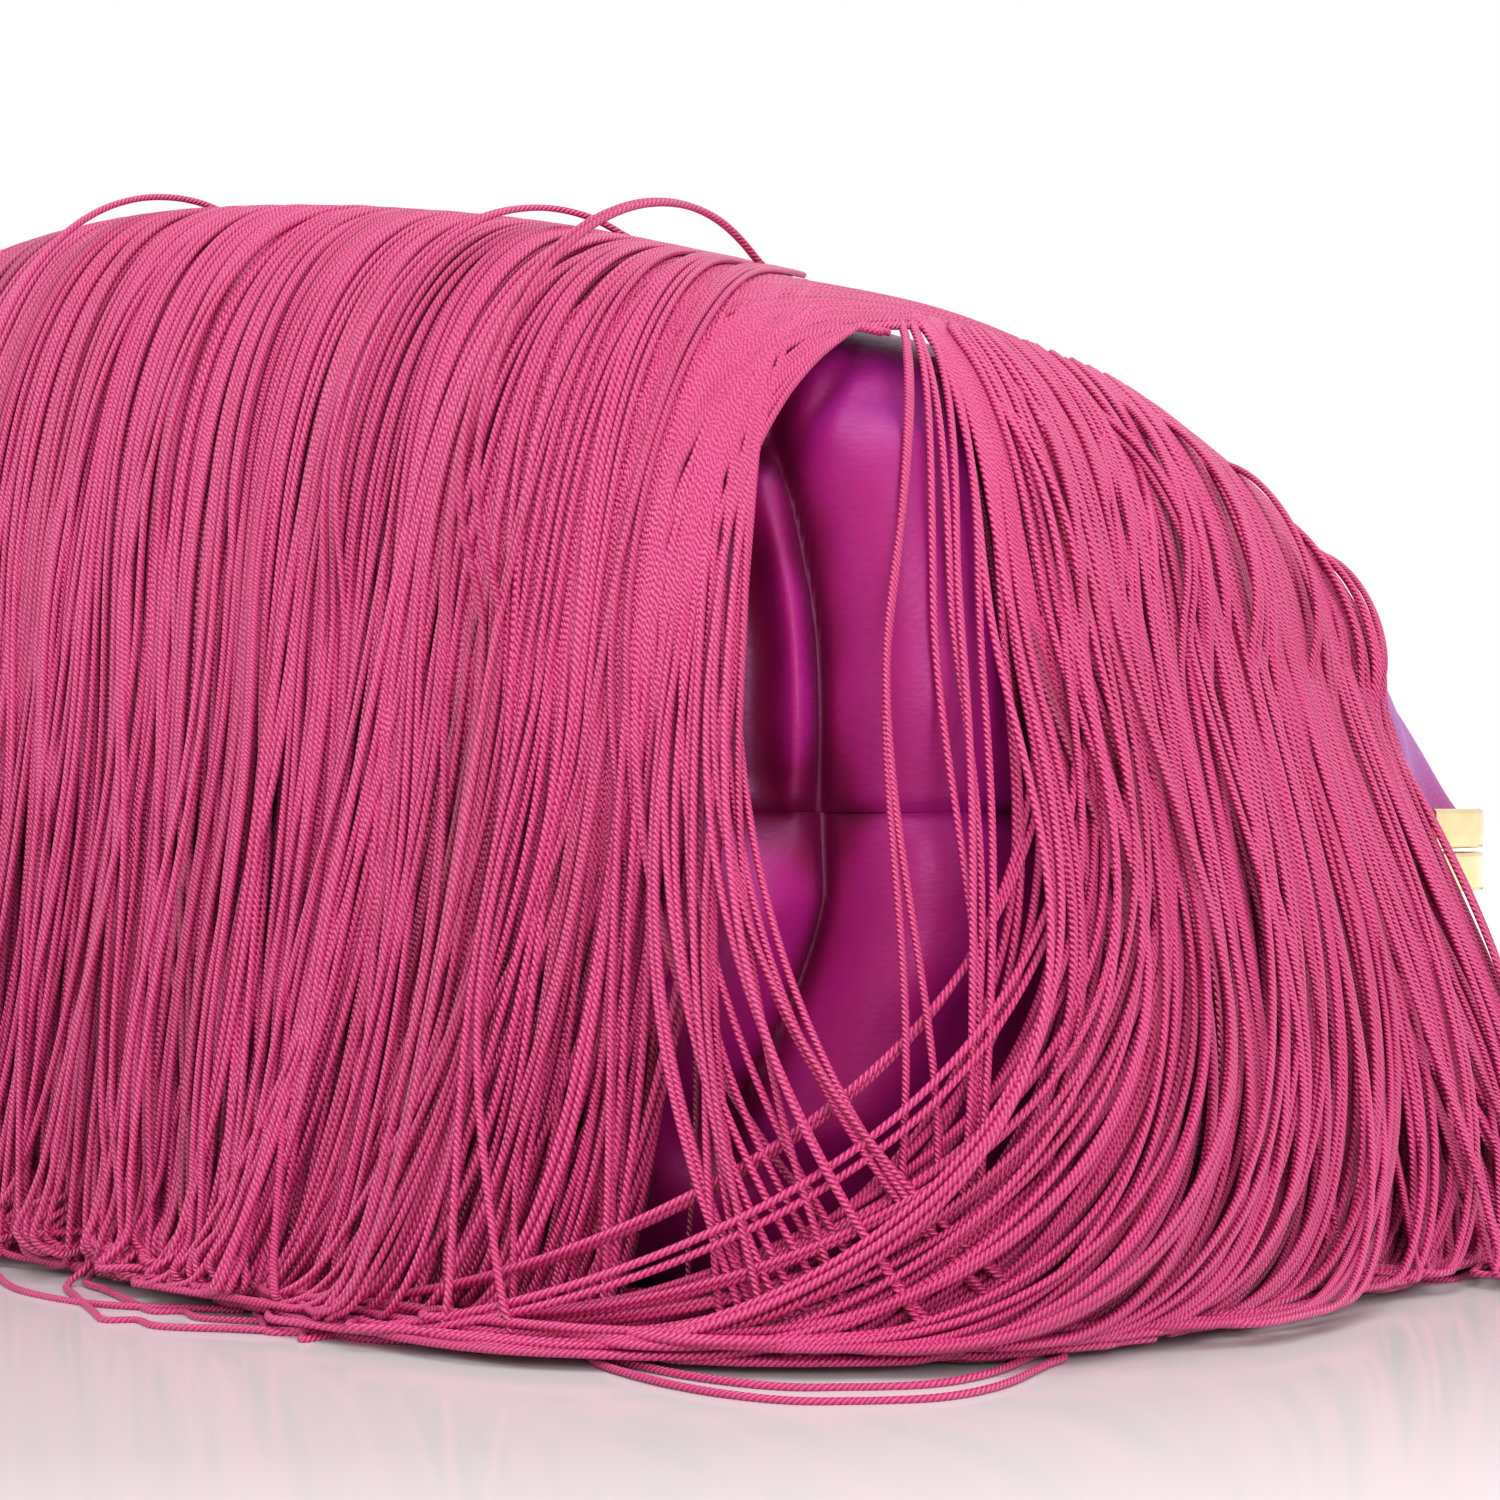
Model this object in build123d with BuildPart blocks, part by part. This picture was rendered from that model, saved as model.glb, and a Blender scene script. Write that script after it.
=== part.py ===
from build123d import *
import math
import os

# Satin frame clutch trimmed with long looped cord fringe, lying on its back.
# X is the bag's width, -Y its bottom edge, +Y its metal frame, +Z out of the
# front panel. The back panel and the fringe rest on the plane z = 0.

# ---------------------------------------------------------------- dimensions
bag_half_width = 150.0  # widest point of the stuffed pouch
bag_bottom_y = -90.0  # bottom edge of the pouch
pouch_mouth_y = 66.0  # where the side seams end, just below the hinges
satin_t = 1.2  # satin with its woven interlining
wadding_t = 3.4  # polyester wadding behind the satin
lining_t = 0.7  # lining cloth

hinge_y = 72.0  # hinge pins of the metal frame
hinge_z = 50.0
frame_out_y = 109.0  # outer face of the frame's long bar
frame_half_x = 138.0  # outer face of the frame's side arms
frame_band = 7.0  # depth of the frame channel, seen from the front
frame_half_h = 6.2  # height of one frame half
frame_gap = 0.3  # each half stands this far from the parting plane
frame_wall = 0.8  # metal thickness
frame_corner = 16.0  # outer corner radius of the frame
lug_r = 4.4  # hinge lugs at the ends of the arms
lug_t = 1.4
pin_r = 1.3
pin_clear = 0.05

ball_r = 4.6  # kiss lock balls
ball_gap = 0.3
stem_r = 1.6

skirt_side = 40.0  # how far the side fringe spreads on the table
skirt_bottom = 31.0  # the same at the bottom edge
fringe_t = 5.5  # thickness of the fringe where it lies on the front panel
header_w = 4.0  # width of one header tape
header_t = 0.8
fringe_end_y = 38.0  # where the side fringe stops, short of the frame

# Stations of the stuffed pouch along Y: y, half width, crown, seam, underside.
stations = [
    (-90.0, 90.0, 97.0, 56.0, 25.0),
    (-88.0, 106.0, 110.0, 56.0, 16.0),
    (-83.0, 121.0, 122.0, 56.0, 8.0),
    (-74.0, 134.0, 133.0, 56.0, 3.0),
    (-60.0, 144.0, 139.5, 56.0, 0.6),
    (-40.0, 149.5, 141.5, 55.6, 0.0),
    (-10.0, 150.0, 136.5, 54.6, 0.0),
    (20.0, 148.0, 122.5, 53.4, 2.0),
    (45.0, 145.0, 104.5, 52.0, 11.0),
    (66.0, 141.0, 87.0, 50.6, 24.0),
]


def ring(y, w, top, seam, low, count=20):
    """Points of one closed section of the pouch: domed above the seam, fuller below it and next to the frame."""
    pts = []
    for k in range(count):
        t = 2 * math.pi * k / count
        c, s = math.cos(t), math.sin(t)
        n = 2.5 + max(0.0, (y - 20.0) / 46.0) ** 2 if s > 1e-9 else 3.5
        x = w * math.copysign(abs(c) ** (2 / n), c)
        h = (top - seam) if s >= 0 else (seam - low)
        z = seam + h * math.copysign(abs(s) ** (2 / n), s)
        pts.append((x, y, z))
    return pts


def pouch(inset):
    """Wires of the pouch's surface, moved inwards by inset."""
    out = []
    for y, w, top, seam, low in stations:
        k = max(0.0, (pouch_mouth_y - y) / (pouch_mouth_y - bag_bottom_y))
        out.append(ring(y + inset * k, w - inset, top - inset, seam, low + inset))
    return out


def loft_rings(rings):
    wires = []
    for pts in rings:
        y = pts[0][1]
        with BuildSketch(Plane.XZ.offset(-y)) as s:
            with BuildLine():
                Spline(*[(p[0], p[2]) for p in pts], periodic=True)
            make_face()
        wires.append(s.sketch)
    return wires


def pouch_solid(inset):
    with BuildPart() as p:
        for w in loft_rings(pouch(inset)):
            add(w)
        loft()
    return p.part


outer = pouch_solid(0.0)
under_satin = pouch_solid(satin_t)
under_wadding = pouch_solid(satin_t + wadding_t)
inside = pouch_solid(satin_t + wadding_t + lining_t)

# The perimeter seam runs round the pouch at mid depth: a plane that drops
# slightly towards the hinges.
seam_tilt = math.degrees(math.atan2(56.0 - 50.6, 66.0 + 74.0))
seam_plane = Plane(
    origin=(0, -74.0, 56.0),
    x_dir=(1, 0, 0),
    z_dir=(0, math.sin(math.radians(seam_tilt)), math.cos(math.radians(seam_tilt))),
)


def shell(outside, hollow, keep):
    with BuildPart() as p:
        add(outside)
        add(hollow, mode=Mode.SUBTRACT)
        split(bisect_by=seam_plane, keep=keep)
    return p.part


with BuildPart() as front_panel:
    add(shell(outer, under_satin, Keep.TOP))
with BuildPart() as rear_panel:
    add(shell(outer, under_satin, Keep.BOTTOM))
with BuildPart() as front_wadding:
    add(shell(under_satin, under_wadding, Keep.TOP))
with BuildPart() as rear_wadding:
    add(shell(under_satin, under_wadding, Keep.BOTTOM))
with BuildPart() as front_lining:
    add(shell(under_wadding, inside, Keep.TOP))
with BuildPart() as rear_lining:
    add(shell(under_wadding, inside, Keep.BOTTOM))

# Slip pocket on the back lining: a flat pouch of lining cloth.
pocket_y0, pocket_y1, pocket_z = -30.0, 10.0, 6.6
with BuildPart() as slip_pocket:
    with BuildSketch(Plane.XY.offset(pocket_z)):
        with Locations((0, (pocket_y0 + pocket_y1) / 2)):
            RectangleRounded(130, pocket_y1 - pocket_y0, 6)
    extrude(amount=1.4)
    fillet(slip_pocket.edges().group_by(Axis.Z)[-1], 0.5)

# ----------------------------------------------------------- frame channels
inner_arm_y = hinge_y + 6.0  # the channels start clear of the lugs


def u_band(out_inset, width, y_start=inner_arm_y):
    """Plan of a U that follows the frame, out_inset in from its outer edge."""
    hx = frame_half_x - out_inset
    oy = frame_out_y - out_inset
    r = frame_corner - out_inset
    with BuildSketch() as s:
        with BuildSketch(mode=Mode.PRIVATE) as big:
            with Locations((0, (y_start + oy) / 2)):
                Rectangle(2 * hx, oy - y_start)
            fillet(big.vertices().group_by(Axis.Y)[-1], r)
        add(big.sketch)
        with BuildSketch(mode=Mode.PRIVATE) as small:
            with Locations((0, (y_start - 5 + oy - width) / 2)):
                Rectangle(2 * (hx - width), oy - width - y_start + 5)
            fillet(small.vertices().group_by(Axis.Y)[-1], max(r - width, 1.0))
        add(small.sketch, mode=Mode.SUBTRACT)
    return s.sketch


def channel(z0):
    """One half of the frame: a channel open towards the bag."""
    with BuildPart() as p:
        with BuildSketch(Plane.XY.offset(z0)):
            add(u_band(0, frame_band))
        extrude(amount=frame_half_h)
        outer_edges = [
            e
            for e in p.edges()
            if e.center().Y > frame_out_y - 0.01
            or abs(e.center().X) > frame_half_x - 0.01
        ]
        rims = [e for e in outer_edges if abs(e.tangent_at(0.5).Z) < 0.01]
        fillet(rims, 0.7)
        with BuildSketch(Plane.XY.offset(z0 + frame_wall)):
            add(u_band(frame_wall, frame_band, inner_arm_y - 1))
        extrude(amount=frame_half_h - 2 * frame_wall, mode=Mode.SUBTRACT)
    return p.part


def lug(side, x_in, z0, up):
    """Flat hinge lug with its neck, joined to one arm of the frame."""
    with BuildPart() as p:
        with BuildSketch(Plane.YZ.offset(min(side * x_in, side * (x_in + lug_t)))):
            with Locations((hinge_y, hinge_z)):
                Circle(lug_r)
            za, zb = (z0 + 0.2, z0 + frame_half_h - 0.2)
            with BuildLine():
                lo = hinge_z + (-1.6 if up else 1.6)
                hi = zb if up else za
                mid = za if up else zb
                Polyline(
                    (hinge_y - 1.0, lo),
                    (hinge_y + 3.6, mid),
                    (inner_arm_y + 6, mid),
                    (inner_arm_y + 6, hi),
                    (inner_arm_y - 1.0, hi),
                    (hinge_y - 1.0, hinge_z + (3.6 if up else -3.6)),
                    close=True,
                )
            make_face()
        extrude(amount=lug_t)
    return p.part


front_z0 = hinge_z + frame_gap
rear_z0 = hinge_z - frame_gap - frame_half_h
front_lug_x = frame_half_x - 3.6  # inner lugs, on the front half
rear_lug_x = front_lug_x + lug_t + 0.3  # outer lugs, on the back half

with BuildPart() as frame_front:
    add(channel(front_z0))
    for side in (-1, 1):
        add(lug(side, front_lug_x, front_z0, True))
    with BuildSketch(Plane.YZ.offset(-frame_half_x - 2)):
        with Locations((hinge_y, hinge_z)):
            Circle(pin_r + pin_clear)
    extrude(amount=2 * frame_half_x + 4, mode=Mode.SUBTRACT)

with BuildPart() as frame_rear:
    add(channel(rear_z0))
    for side in (-1, 1):
        add(lug(side, rear_lug_x, rear_z0, False))
    with BuildSketch(Plane.YZ.offset(-frame_half_x - 2)):
        with Locations((hinge_y, hinge_z)):
            Circle(pin_r)
    extrude(amount=2 * frame_half_x + 4, mode=Mode.SUBTRACT)


def rivet(side):
    """Hinge rivet: shank through both lugs, domed head outside."""
    x0 = front_lug_x - 1.6
    x1 = rear_lug_x + lug_t
    with BuildPart() as p:
        with BuildSketch(Plane.YZ.offset(x0 if side > 0 else -x1)):
            with Locations((hinge_y, hinge_z)):
                Circle(pin_r)
        extrude(amount=x1 - x0)
        with BuildSketch(Plane.YZ.offset(x1 if side > 0 else -x1 - 1.1)):
            with Locations((hinge_y, hinge_z)):
                Circle(2.6)
        extrude(amount=1.1)
        head = [
            e
            for e in p.edges().filter_by(GeomType.CIRCLE)
            if abs(e.radius - 2.6) < 0.01 and abs(abs(e.center().X) - x1 - 1.1) < 0.01
        ]
        fillet(head, 0.8)
    return p.part


with BuildPart() as hinge_rivet_right:
    add(rivet(1))
with BuildPart() as hinge_rivet_left:
    add(rivet(-1))

# Spring washers on the inner ends of the rivets keep the front arms close.
with BuildPart() as hinge_washers:
    for side in (-1, 1):
        x0 = front_lug_x - 1.2
        with BuildSketch(Plane.YZ.offset(x0 if side > 0 else -x0 - 0.8)):
            with Locations((hinge_y, hinge_z)):
                Circle(2.8)
                Circle(pin_r, mode=Mode.SUBTRACT)
        extrude(amount=0.8)


# Paper cord that wedges the cloth into each channel.
def packing(z0):
    with BuildPart() as p:
        with BuildSketch(Plane.XY.offset(z0)):
            add(u_band(frame_wall + 0.2, 2.4, inner_arm_y + 7))
        extrude(amount=2.4)
    return p.part


with BuildPart() as front_frame_cord:
    add(packing(front_z0 + frame_half_h - frame_wall - 0.1 - 2.4))
with BuildPart() as rear_frame_cord:
    add(packing(rear_z0 + frame_wall + 0.1))

# ------------------------------------------------------------- mouth panels
# The cloth between the hinges and the frame: one edge tucks into the channel.
mouth_front = [
    (76.0, 126.0, 71.0, 53.6),
    (86.0, 127.0, 67.0, 53.0),
    (96.0, 127.5, 60.5, 52.4),
    (102.4, 127.5, 54.8, 51.8),
]


def mouth_sheet(rows, mirror_z):
    """A thin arched sheet, open towards the parting plane."""

    def arch(y, w, top, low, drop):
        def zz(z):
            return 2 * hinge_z - z if mirror_z else z

        h = top - low
        x = w - drop
        t = top - drop
        lo = low - (1.0 if drop else 0.0)
        with BuildSketch(Plane.XZ.offset(-y)) as s:
            with BuildLine():
                Polyline(
                    (-x, zz(lo)),
                    (-x, zz(t - 0.55 * h)),
                    (-x + 4, zz(t - 0.2 * h)),
                    (-x + 14, zz(t)),
                    (x - 14, zz(t)),
                    (x - 4, zz(t - 0.2 * h)),
                    (x, zz(t - 0.55 * h)),
                    (x, zz(lo)),
                    close=True,
                )
            make_face()
        return s.sketch

    with BuildPart() as a:
        for y, w, top, low in rows:
            add(arch(y, w, top, low, 0.0))
        loft(ruled=True)
    with BuildPart() as b:
        for i, (y, w, top, low) in enumerate(rows):
            yy = y - 1 if i == 0 else (y + 1 if i == len(rows) - 1 else y)
            add(arch(yy, w, top, low, 1.3))
        loft(ruled=True)
    with BuildPart() as p:
        add(a.part)
        add(b.part, mode=Mode.SUBTRACT)
    return p.part


with BuildPart() as front_mouth_panel:
    add(mouth_sheet(mouth_front, False))
with BuildPart() as rear_mouth_panel:
    add(mouth_sheet(mouth_front, True))


# ---------------------------------------------------------------- kiss lock
def clasp(side, z0):
    """A ball on a short stem that stands on the bar, leaning to one side."""
    x = side * (ball_r + ball_gap / 2)
    with BuildPart() as p:
        with BuildSketch(Plane.XZ.offset(-frame_out_y)):
            with Locations((x, z0 + frame_half_h / 2)):
                Circle(stem_r + 0.9)
        extrude(amount=-1.4)
        with BuildSketch(Plane.XZ.offset(-frame_out_y)):
            with Locations((x, z0 + frame_half_h / 2)):
                Circle(stem_r)
        extrude(amount=-5.0)
        with Locations((x, frame_out_y + 7.4, z0 + frame_half_h / 2)):
            Sphere(ball_r)
    return p.part


with BuildPart() as clasp_ball_front:
    add(clasp(1, front_z0))
with BuildPart() as clasp_ball_rear:
    add(clasp(-1, rear_z0))

# ------------------------------------------------------------------- fringe
# The fringe is sewn on by header tapes that follow the two sides and the
# bottom edge of the front panel. Its strands fall to the table and spread.
skirt = [
    (0.0, skirt_side, skirt_bottom),
    (6.0, skirt_side - 1.0, skirt_bottom - 1.0),
    (26.0, 25.0, 19.0),
    (62.0, 13.0, 11.0),
    (100.0, 8.0, 7.0),
    (142.0, 2.0, 2.0),
]
with BuildPart() as skirt_body:
    for z, sx, sy in skirt:
        y0 = bag_bottom_y - sy
        hx = bag_half_width + sx
        with BuildSketch(Plane.XY.offset(z)):
            with Locations((0, (y0 + 100) / 2)):
                RectangleRounded(2 * hx, 100 - y0, 52 + (sx + sy) / 2)
    loft(ruled=True)


def grown(extra):
    with BuildPart() as p:
        rings = []
        for y, w, top, seam, low in stations:
            k = (pouch_mouth_y - y) / (pouch_mouth_y - bag_bottom_y)
            rings.append(
                ring(y - extra * k, w + extra, top + extra, seam, low - extra)
            )
        for w in loft_rings(rings):
            add(w)
        loft()
    return p.part


over_front = grown(fringe_t)
clear_body = grown(0.35)

with BuildPart() as cap_cutter:
    with Locations((0, 0, 96)):
        Box(500, 400, 80, align=(Align.CENTER, Align.CENTER, Align.MIN))
    add(over_front, mode=Mode.SUBTRACT)

with BuildPart() as fringe_all:
    add(skirt_body.part)
    add(clear_body, mode=Mode.SUBTRACT)
    add(cap_cutter.part, mode=Mode.SUBTRACT)


def fringe_piece(x0, x1, y0, y1):
    with BuildPart() as p:
        add(fringe_all.part)
        with Locations(((x0 + x1) / 2, (y0 + y1) / 2, -1)):
            Box(
                x1 - x0,
                y1 - y0,
                200,
                align=(Align.CENTER, Align.CENTER, Align.MIN),
                mode=Mode.INTERSECT,
            )
        pick = p.part.solids().sort_by(SortBy.VOLUME)[-1]
    return pick


with BuildPart() as fringe_bottom:
    add(fringe_piece(-114, 114, -140, -46))
with BuildPart() as fringe_right:
    add(fringe_piece(128, 210, -52, fringe_end_y))
with BuildPart() as fringe_left:
    add(fringe_piece(-210, -128, -52, fringe_end_y))


# Header tapes: bands on the front panel, just inside the fringe.
def tape(x0, x1, y0, y1):
    hug_out = grown(0.35 + header_t)
    with BuildPart() as p:
        add(hug_out)
        add(grown(0.3), mode=Mode.SUBTRACT)
        with Locations(((x0 + x1) / 2, (y0 + y1) / 2, 80)):
            Box(
                x1 - x0,
                y1 - y0,
                100,
                align=(Align.CENTER, Align.CENTER, Align.MIN),
                mode=Mode.INTERSECT,
            )
        pick = p.part.solids().sort_by(SortBy.VOLUME)[-1]
    return pick


with BuildPart() as header_tape_bottom:
    add(tape(-112, 112, -45.6, -45.6 + header_w))
with BuildPart() as header_tape_right:
    add(tape(127.6 - header_w, 127.6, -52, fringe_end_y))
with BuildPart() as header_tape_left:
    add(tape(-127.6, -127.6 + header_w, -52, fringe_end_y))

# ------------------------------------------------------------------- export
nodes = {
    "front_panel": front_panel,
    "rear_panel": rear_panel,
    "front_wadding": front_wadding,
    "rear_wadding": rear_wadding,
    "front_lining": front_lining,
    "rear_lining": rear_lining,
    "slip_pocket": slip_pocket,
    "frame_front": frame_front,
    "frame_rear": frame_rear,
    "hinge_rivet_right": hinge_rivet_right,
    "hinge_rivet_left": hinge_rivet_left,
    "hinge_washers": hinge_washers,
    "front_frame_cord": front_frame_cord,
    "rear_frame_cord": rear_frame_cord,
    "front_mouth_panel": front_mouth_panel,
    "rear_mouth_panel": rear_mouth_panel,
    "clasp_ball_front": clasp_ball_front,
    "clasp_ball_rear": clasp_ball_rear,
    "header_tape_bottom": header_tape_bottom,
    "header_tape_right": header_tape_right,
    "header_tape_left": header_tape_left,
    "fringe_bottom": fringe_bottom,
    "fringe_right": fringe_right,
    "fringe_left": fringe_left,
}
os.makedirs("parts", exist_ok=True)
for name, piece in nodes.items():
    piece.part.label = name
    export_step(piece.part, "parts/" + name + ".step")
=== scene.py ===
import bpy
import math
import numpy as np
from mathutils import Matrix, Vector


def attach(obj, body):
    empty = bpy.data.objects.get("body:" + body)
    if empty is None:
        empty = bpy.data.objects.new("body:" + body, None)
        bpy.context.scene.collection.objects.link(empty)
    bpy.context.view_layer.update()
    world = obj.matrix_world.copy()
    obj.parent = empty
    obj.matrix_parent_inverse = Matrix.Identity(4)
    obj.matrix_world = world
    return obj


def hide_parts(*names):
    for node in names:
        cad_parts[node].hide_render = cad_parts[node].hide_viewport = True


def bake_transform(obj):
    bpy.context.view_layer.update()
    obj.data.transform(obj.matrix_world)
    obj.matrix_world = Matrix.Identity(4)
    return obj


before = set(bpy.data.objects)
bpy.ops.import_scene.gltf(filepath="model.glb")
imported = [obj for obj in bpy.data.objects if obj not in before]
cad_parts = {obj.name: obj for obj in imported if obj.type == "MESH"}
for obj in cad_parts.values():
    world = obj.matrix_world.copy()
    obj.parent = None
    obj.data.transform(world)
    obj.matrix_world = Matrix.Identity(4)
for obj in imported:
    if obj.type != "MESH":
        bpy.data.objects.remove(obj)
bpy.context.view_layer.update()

MM = 0.001

# ------------------------------------------------------------------ the pouch
# All shape functions work in millimetres, in the frame of the CAD model.
HALF_W = 150.0
BOTTOM_Y = -90.0
CORNER_R = 52.0
HINGE_Y, HINGE_Z = 72.0, 50.0
BACK_Y = 105.0  # where the cloth ends inside the frame's channel

T_W = np.array([(-200, 150), (0, 150), (20, 148.6), (45, 145.5), (60, 142), (72, 137.5), (80, 133), (90, 130.8), (120, 130.6)], float)
T_TOP = np.array([(-140, 133), (-90, 135.5), (-70, 137.5), (-40, 138), (-10, 134), (20, 123), (45, 106), (60, 95), (72, 87), (85, 80), (95, 74), (102, 66), (106, 56), (120, 55.4)], float)
T_SEAM = np.array([(-200, 56), (-50, 56), (0, 54), (40, 52), (66, 50.3), (72, 50), (120, 50)], float)
T_LOW = np.array([(-140, 1.2), (0, 1.2), (20, 3), (45, 11), (66, 23), (80, 31), (95, 39), (103, 43.5), (106, 44.7), (120, 44.8)], float)


def smooth01(t):
    t = np.clip(t, 0, 1)
    return t * t * (3 - 2 * t)


GRID_Y = np.arange(-260.0, 160.0, 0.5)


def smoothed(t):
    """A table as evenly spaced values, averaged over a few millimetres so that it has no corners."""
    out = 0.0
    for o in np.linspace(-9, 9, 13):
        out = out + np.interp(GRID_Y + o, t[:, 0], t[:, 1]) * (1.3 - abs(o) / 9)
    return out / sum(1.3 - abs(o) / 9 for o in np.linspace(-9, 9, 13))


T_W, T_TOP, T_SEAM, T_LOW = (smoothed(t) for t in (T_W, T_TOP, T_SEAM, T_LOW))


def table(t, y):
    q = np.clip((np.asarray(y, float) - GRID_Y[0]) * 2.0, 0, len(GRID_Y) - 1.001)
    i = q.astype(np.int32)
    f = q - i
    return t[i] * (1 - f) + t[i + 1] * f


def outline(u):
    """Plan outline from arc length u, 0 at the middle of the right bottom corner, + up the right side, - along the bottom. Gives point, outward normal."""
    u = np.asarray(u, float)
    half = CORNER_R * math.pi / 4
    straight = 2 * (HALF_W - CORNER_R)
    x, y = np.zeros_like(u), np.zeros_like(u)
    nx, ny = np.zeros_like(u), np.zeros_like(u)
    cx, cy = HALF_W - CORNER_R, BOTTOM_Y + CORNER_R

    m = u > half
    x[m], y[m], nx[m], ny[m] = HALF_W, cy + (u[m] - half), 1, 0
    m = (u <= half) & (u > -half)
    a = -math.pi / 4 + u[m] / CORNER_R
    x[m], y[m] = cx + CORNER_R * np.cos(a), cy + CORNER_R * np.sin(a)
    nx[m], ny[m] = np.cos(a), np.sin(a)
    m = (u <= -half) & (u > -half - straight)
    x[m], y[m], nx[m], ny[m] = cx + (u[m] + half), BOTTOM_Y, 0, -1
    b0 = -half - straight
    m = (u <= b0) & (u > b0 - 2 * half)
    a = -math.pi / 2 + (u[m] - b0) / CORNER_R
    x[m], y[m] = -cx + CORNER_R * np.cos(a), cy + CORNER_R * np.sin(a)
    nx[m], ny[m] = np.cos(a), np.sin(a)
    m = u <= b0 - 2 * half
    x[m], y[m], nx[m], ny[m] = -HALF_W, cy - (u[m] - (b0 - 2 * half)), -1, 0
    return x, y, nx, ny


HALF_ARC = CORNER_R * math.pi / 4
U_LEFT_CORNER = -HALF_ARC - 2 * (HALF_W - CORNER_R) - HALF_ARC


def plan_point(u, inset):
    """Plan position at arc length u, moved inwards by inset, with the pouch's taper towards the frame."""
    x, y, nx, ny = outline(u)
    x, y = x - inset * nx, y - inset * ny
    w = table(T_W, y)
    return x * w / HALF_W, y


def plan_sdf(x, y):
    ax = np.abs(x) * HALF_W / table(T_W, y)
    qx = ax - (HALF_W - CORNER_R)
    qy = -y + BOTTOM_Y + CORNER_R
    return np.hypot(np.maximum(qx, 0), np.maximum(qy, 0)) + np.minimum(np.maximum(qx, qy), 0) - CORNER_R


RV_T, RV_B, EXP_T, EXP_B = 33.0, 24.0, 2.6, 3.0


def heights(x, y):
    seam = table(T_SEAM, y)
    ax = np.abs(x)
    droop = 0.37 - 0.31 * smooth01((y - 30.0) / 50.0)  # the top falls towards both sides, less where the frame holds it
    side = 1.0 - droop * np.minimum(np.hypot(x, 15.0) / HALF_W, 1.15) ** 1.5
    side = side * (1.0 - 0.05 * np.exp(-((ax - 128.0) ** 2 + (y + 70.0) ** 2) / 900.0))
    up = (table(T_TOP, y) - seam) * side
    low = seam - table(T_LOW, y)
    return seam, np.maximum(up, 1.0), np.maximum(low, 1.0)


def edge_run(y):
    """How far in from the outline the front panel's rounded edge reaches; it is tighter next to the frame."""
    return RV_T - 13.0 * smooth01((y - 55.0) / 35.0)


def body_g(x, y, z):
    """Negative inside the pouch, roughly the distance to it in millimetres near its surface."""
    seam, up, low = heights(x, y)
    d = plan_sdf(x, y)
    mix = smooth01((z - seam + 16.0) / 32.0)
    rv = RV_B + (edge_run(y) - RV_B) * mix
    ex = EXP_B + (EXP_T - EXP_B) * mix
    a = np.maximum(0.0, 1 + d / rv)
    b = np.abs(z - seam) / np.where(z >= seam, up, low)
    return (a**ex + b**ex) ** (1 / ex) - 1


def body_distance(p):
    """(distance, outward direction) of points p[..., 3] from the pouch's surface."""
    x, y, z = p[..., 0], p[..., 1], p[..., 2]
    e = 0.6
    g = body_g(x, y, z)
    gx = (body_g(x + e, y, z) - body_g(x - e, y, z)) / (2 * e)
    gy = (body_g(x, y + e, z) - body_g(x, y - e, z)) / (2 * e)
    gz = (body_g(x, y, z + e) - body_g(x, y, z - e)) / (2 * e)
    n = np.stack([gx, gy, gz], -1)
    size = np.linalg.norm(n, axis=-1) + 1e-9
    return g / size, n / size[..., None]


def lattice_noise(p, seed, scale):
    """Smooth value noise in three dimensions, -1 to 1."""
    q = np.asarray(p, float) / scale + 1000.0 + seed * 17.31
    i = np.floor(q).astype(np.int64)
    f = q - i
    f = f * f * (3 - 2 * f)
    out = 0.0
    for dx in (0, 1):
        for dy in (0, 1):
            for dz in (0, 1):
                h = (i[..., 0] + dx) * 73856093 ^ (i[..., 1] + dy) * 19349663 ^ (i[..., 2] + dz) * 83492791 ^ (seed * 2654435761)
                h = (h ^ (h >> 13)) * 1274126177 & 0x7FFFFFFF
                h = (h ^ (h >> 16)) & 0xFFFF
                w = (f[..., 0] if dx else 1 - f[..., 0]) * (f[..., 1] if dy else 1 - f[..., 1]) * (f[..., 2] if dz else 1 - f[..., 2])
                out = out + w * (h / 32767.5 - 1)
    return out


def dart_line(z, upper):
    """How far, in degrees of the corner, the dart's seam has drifted from 45 degrees at height z."""
    if upper:
        return 0.5 + 7.0 * np.clip((z - 72) / 34, 0, 1) ** 1.6
    return 15.0 * np.clip((48 - z) / 30, 0, 1) ** 1.5


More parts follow.
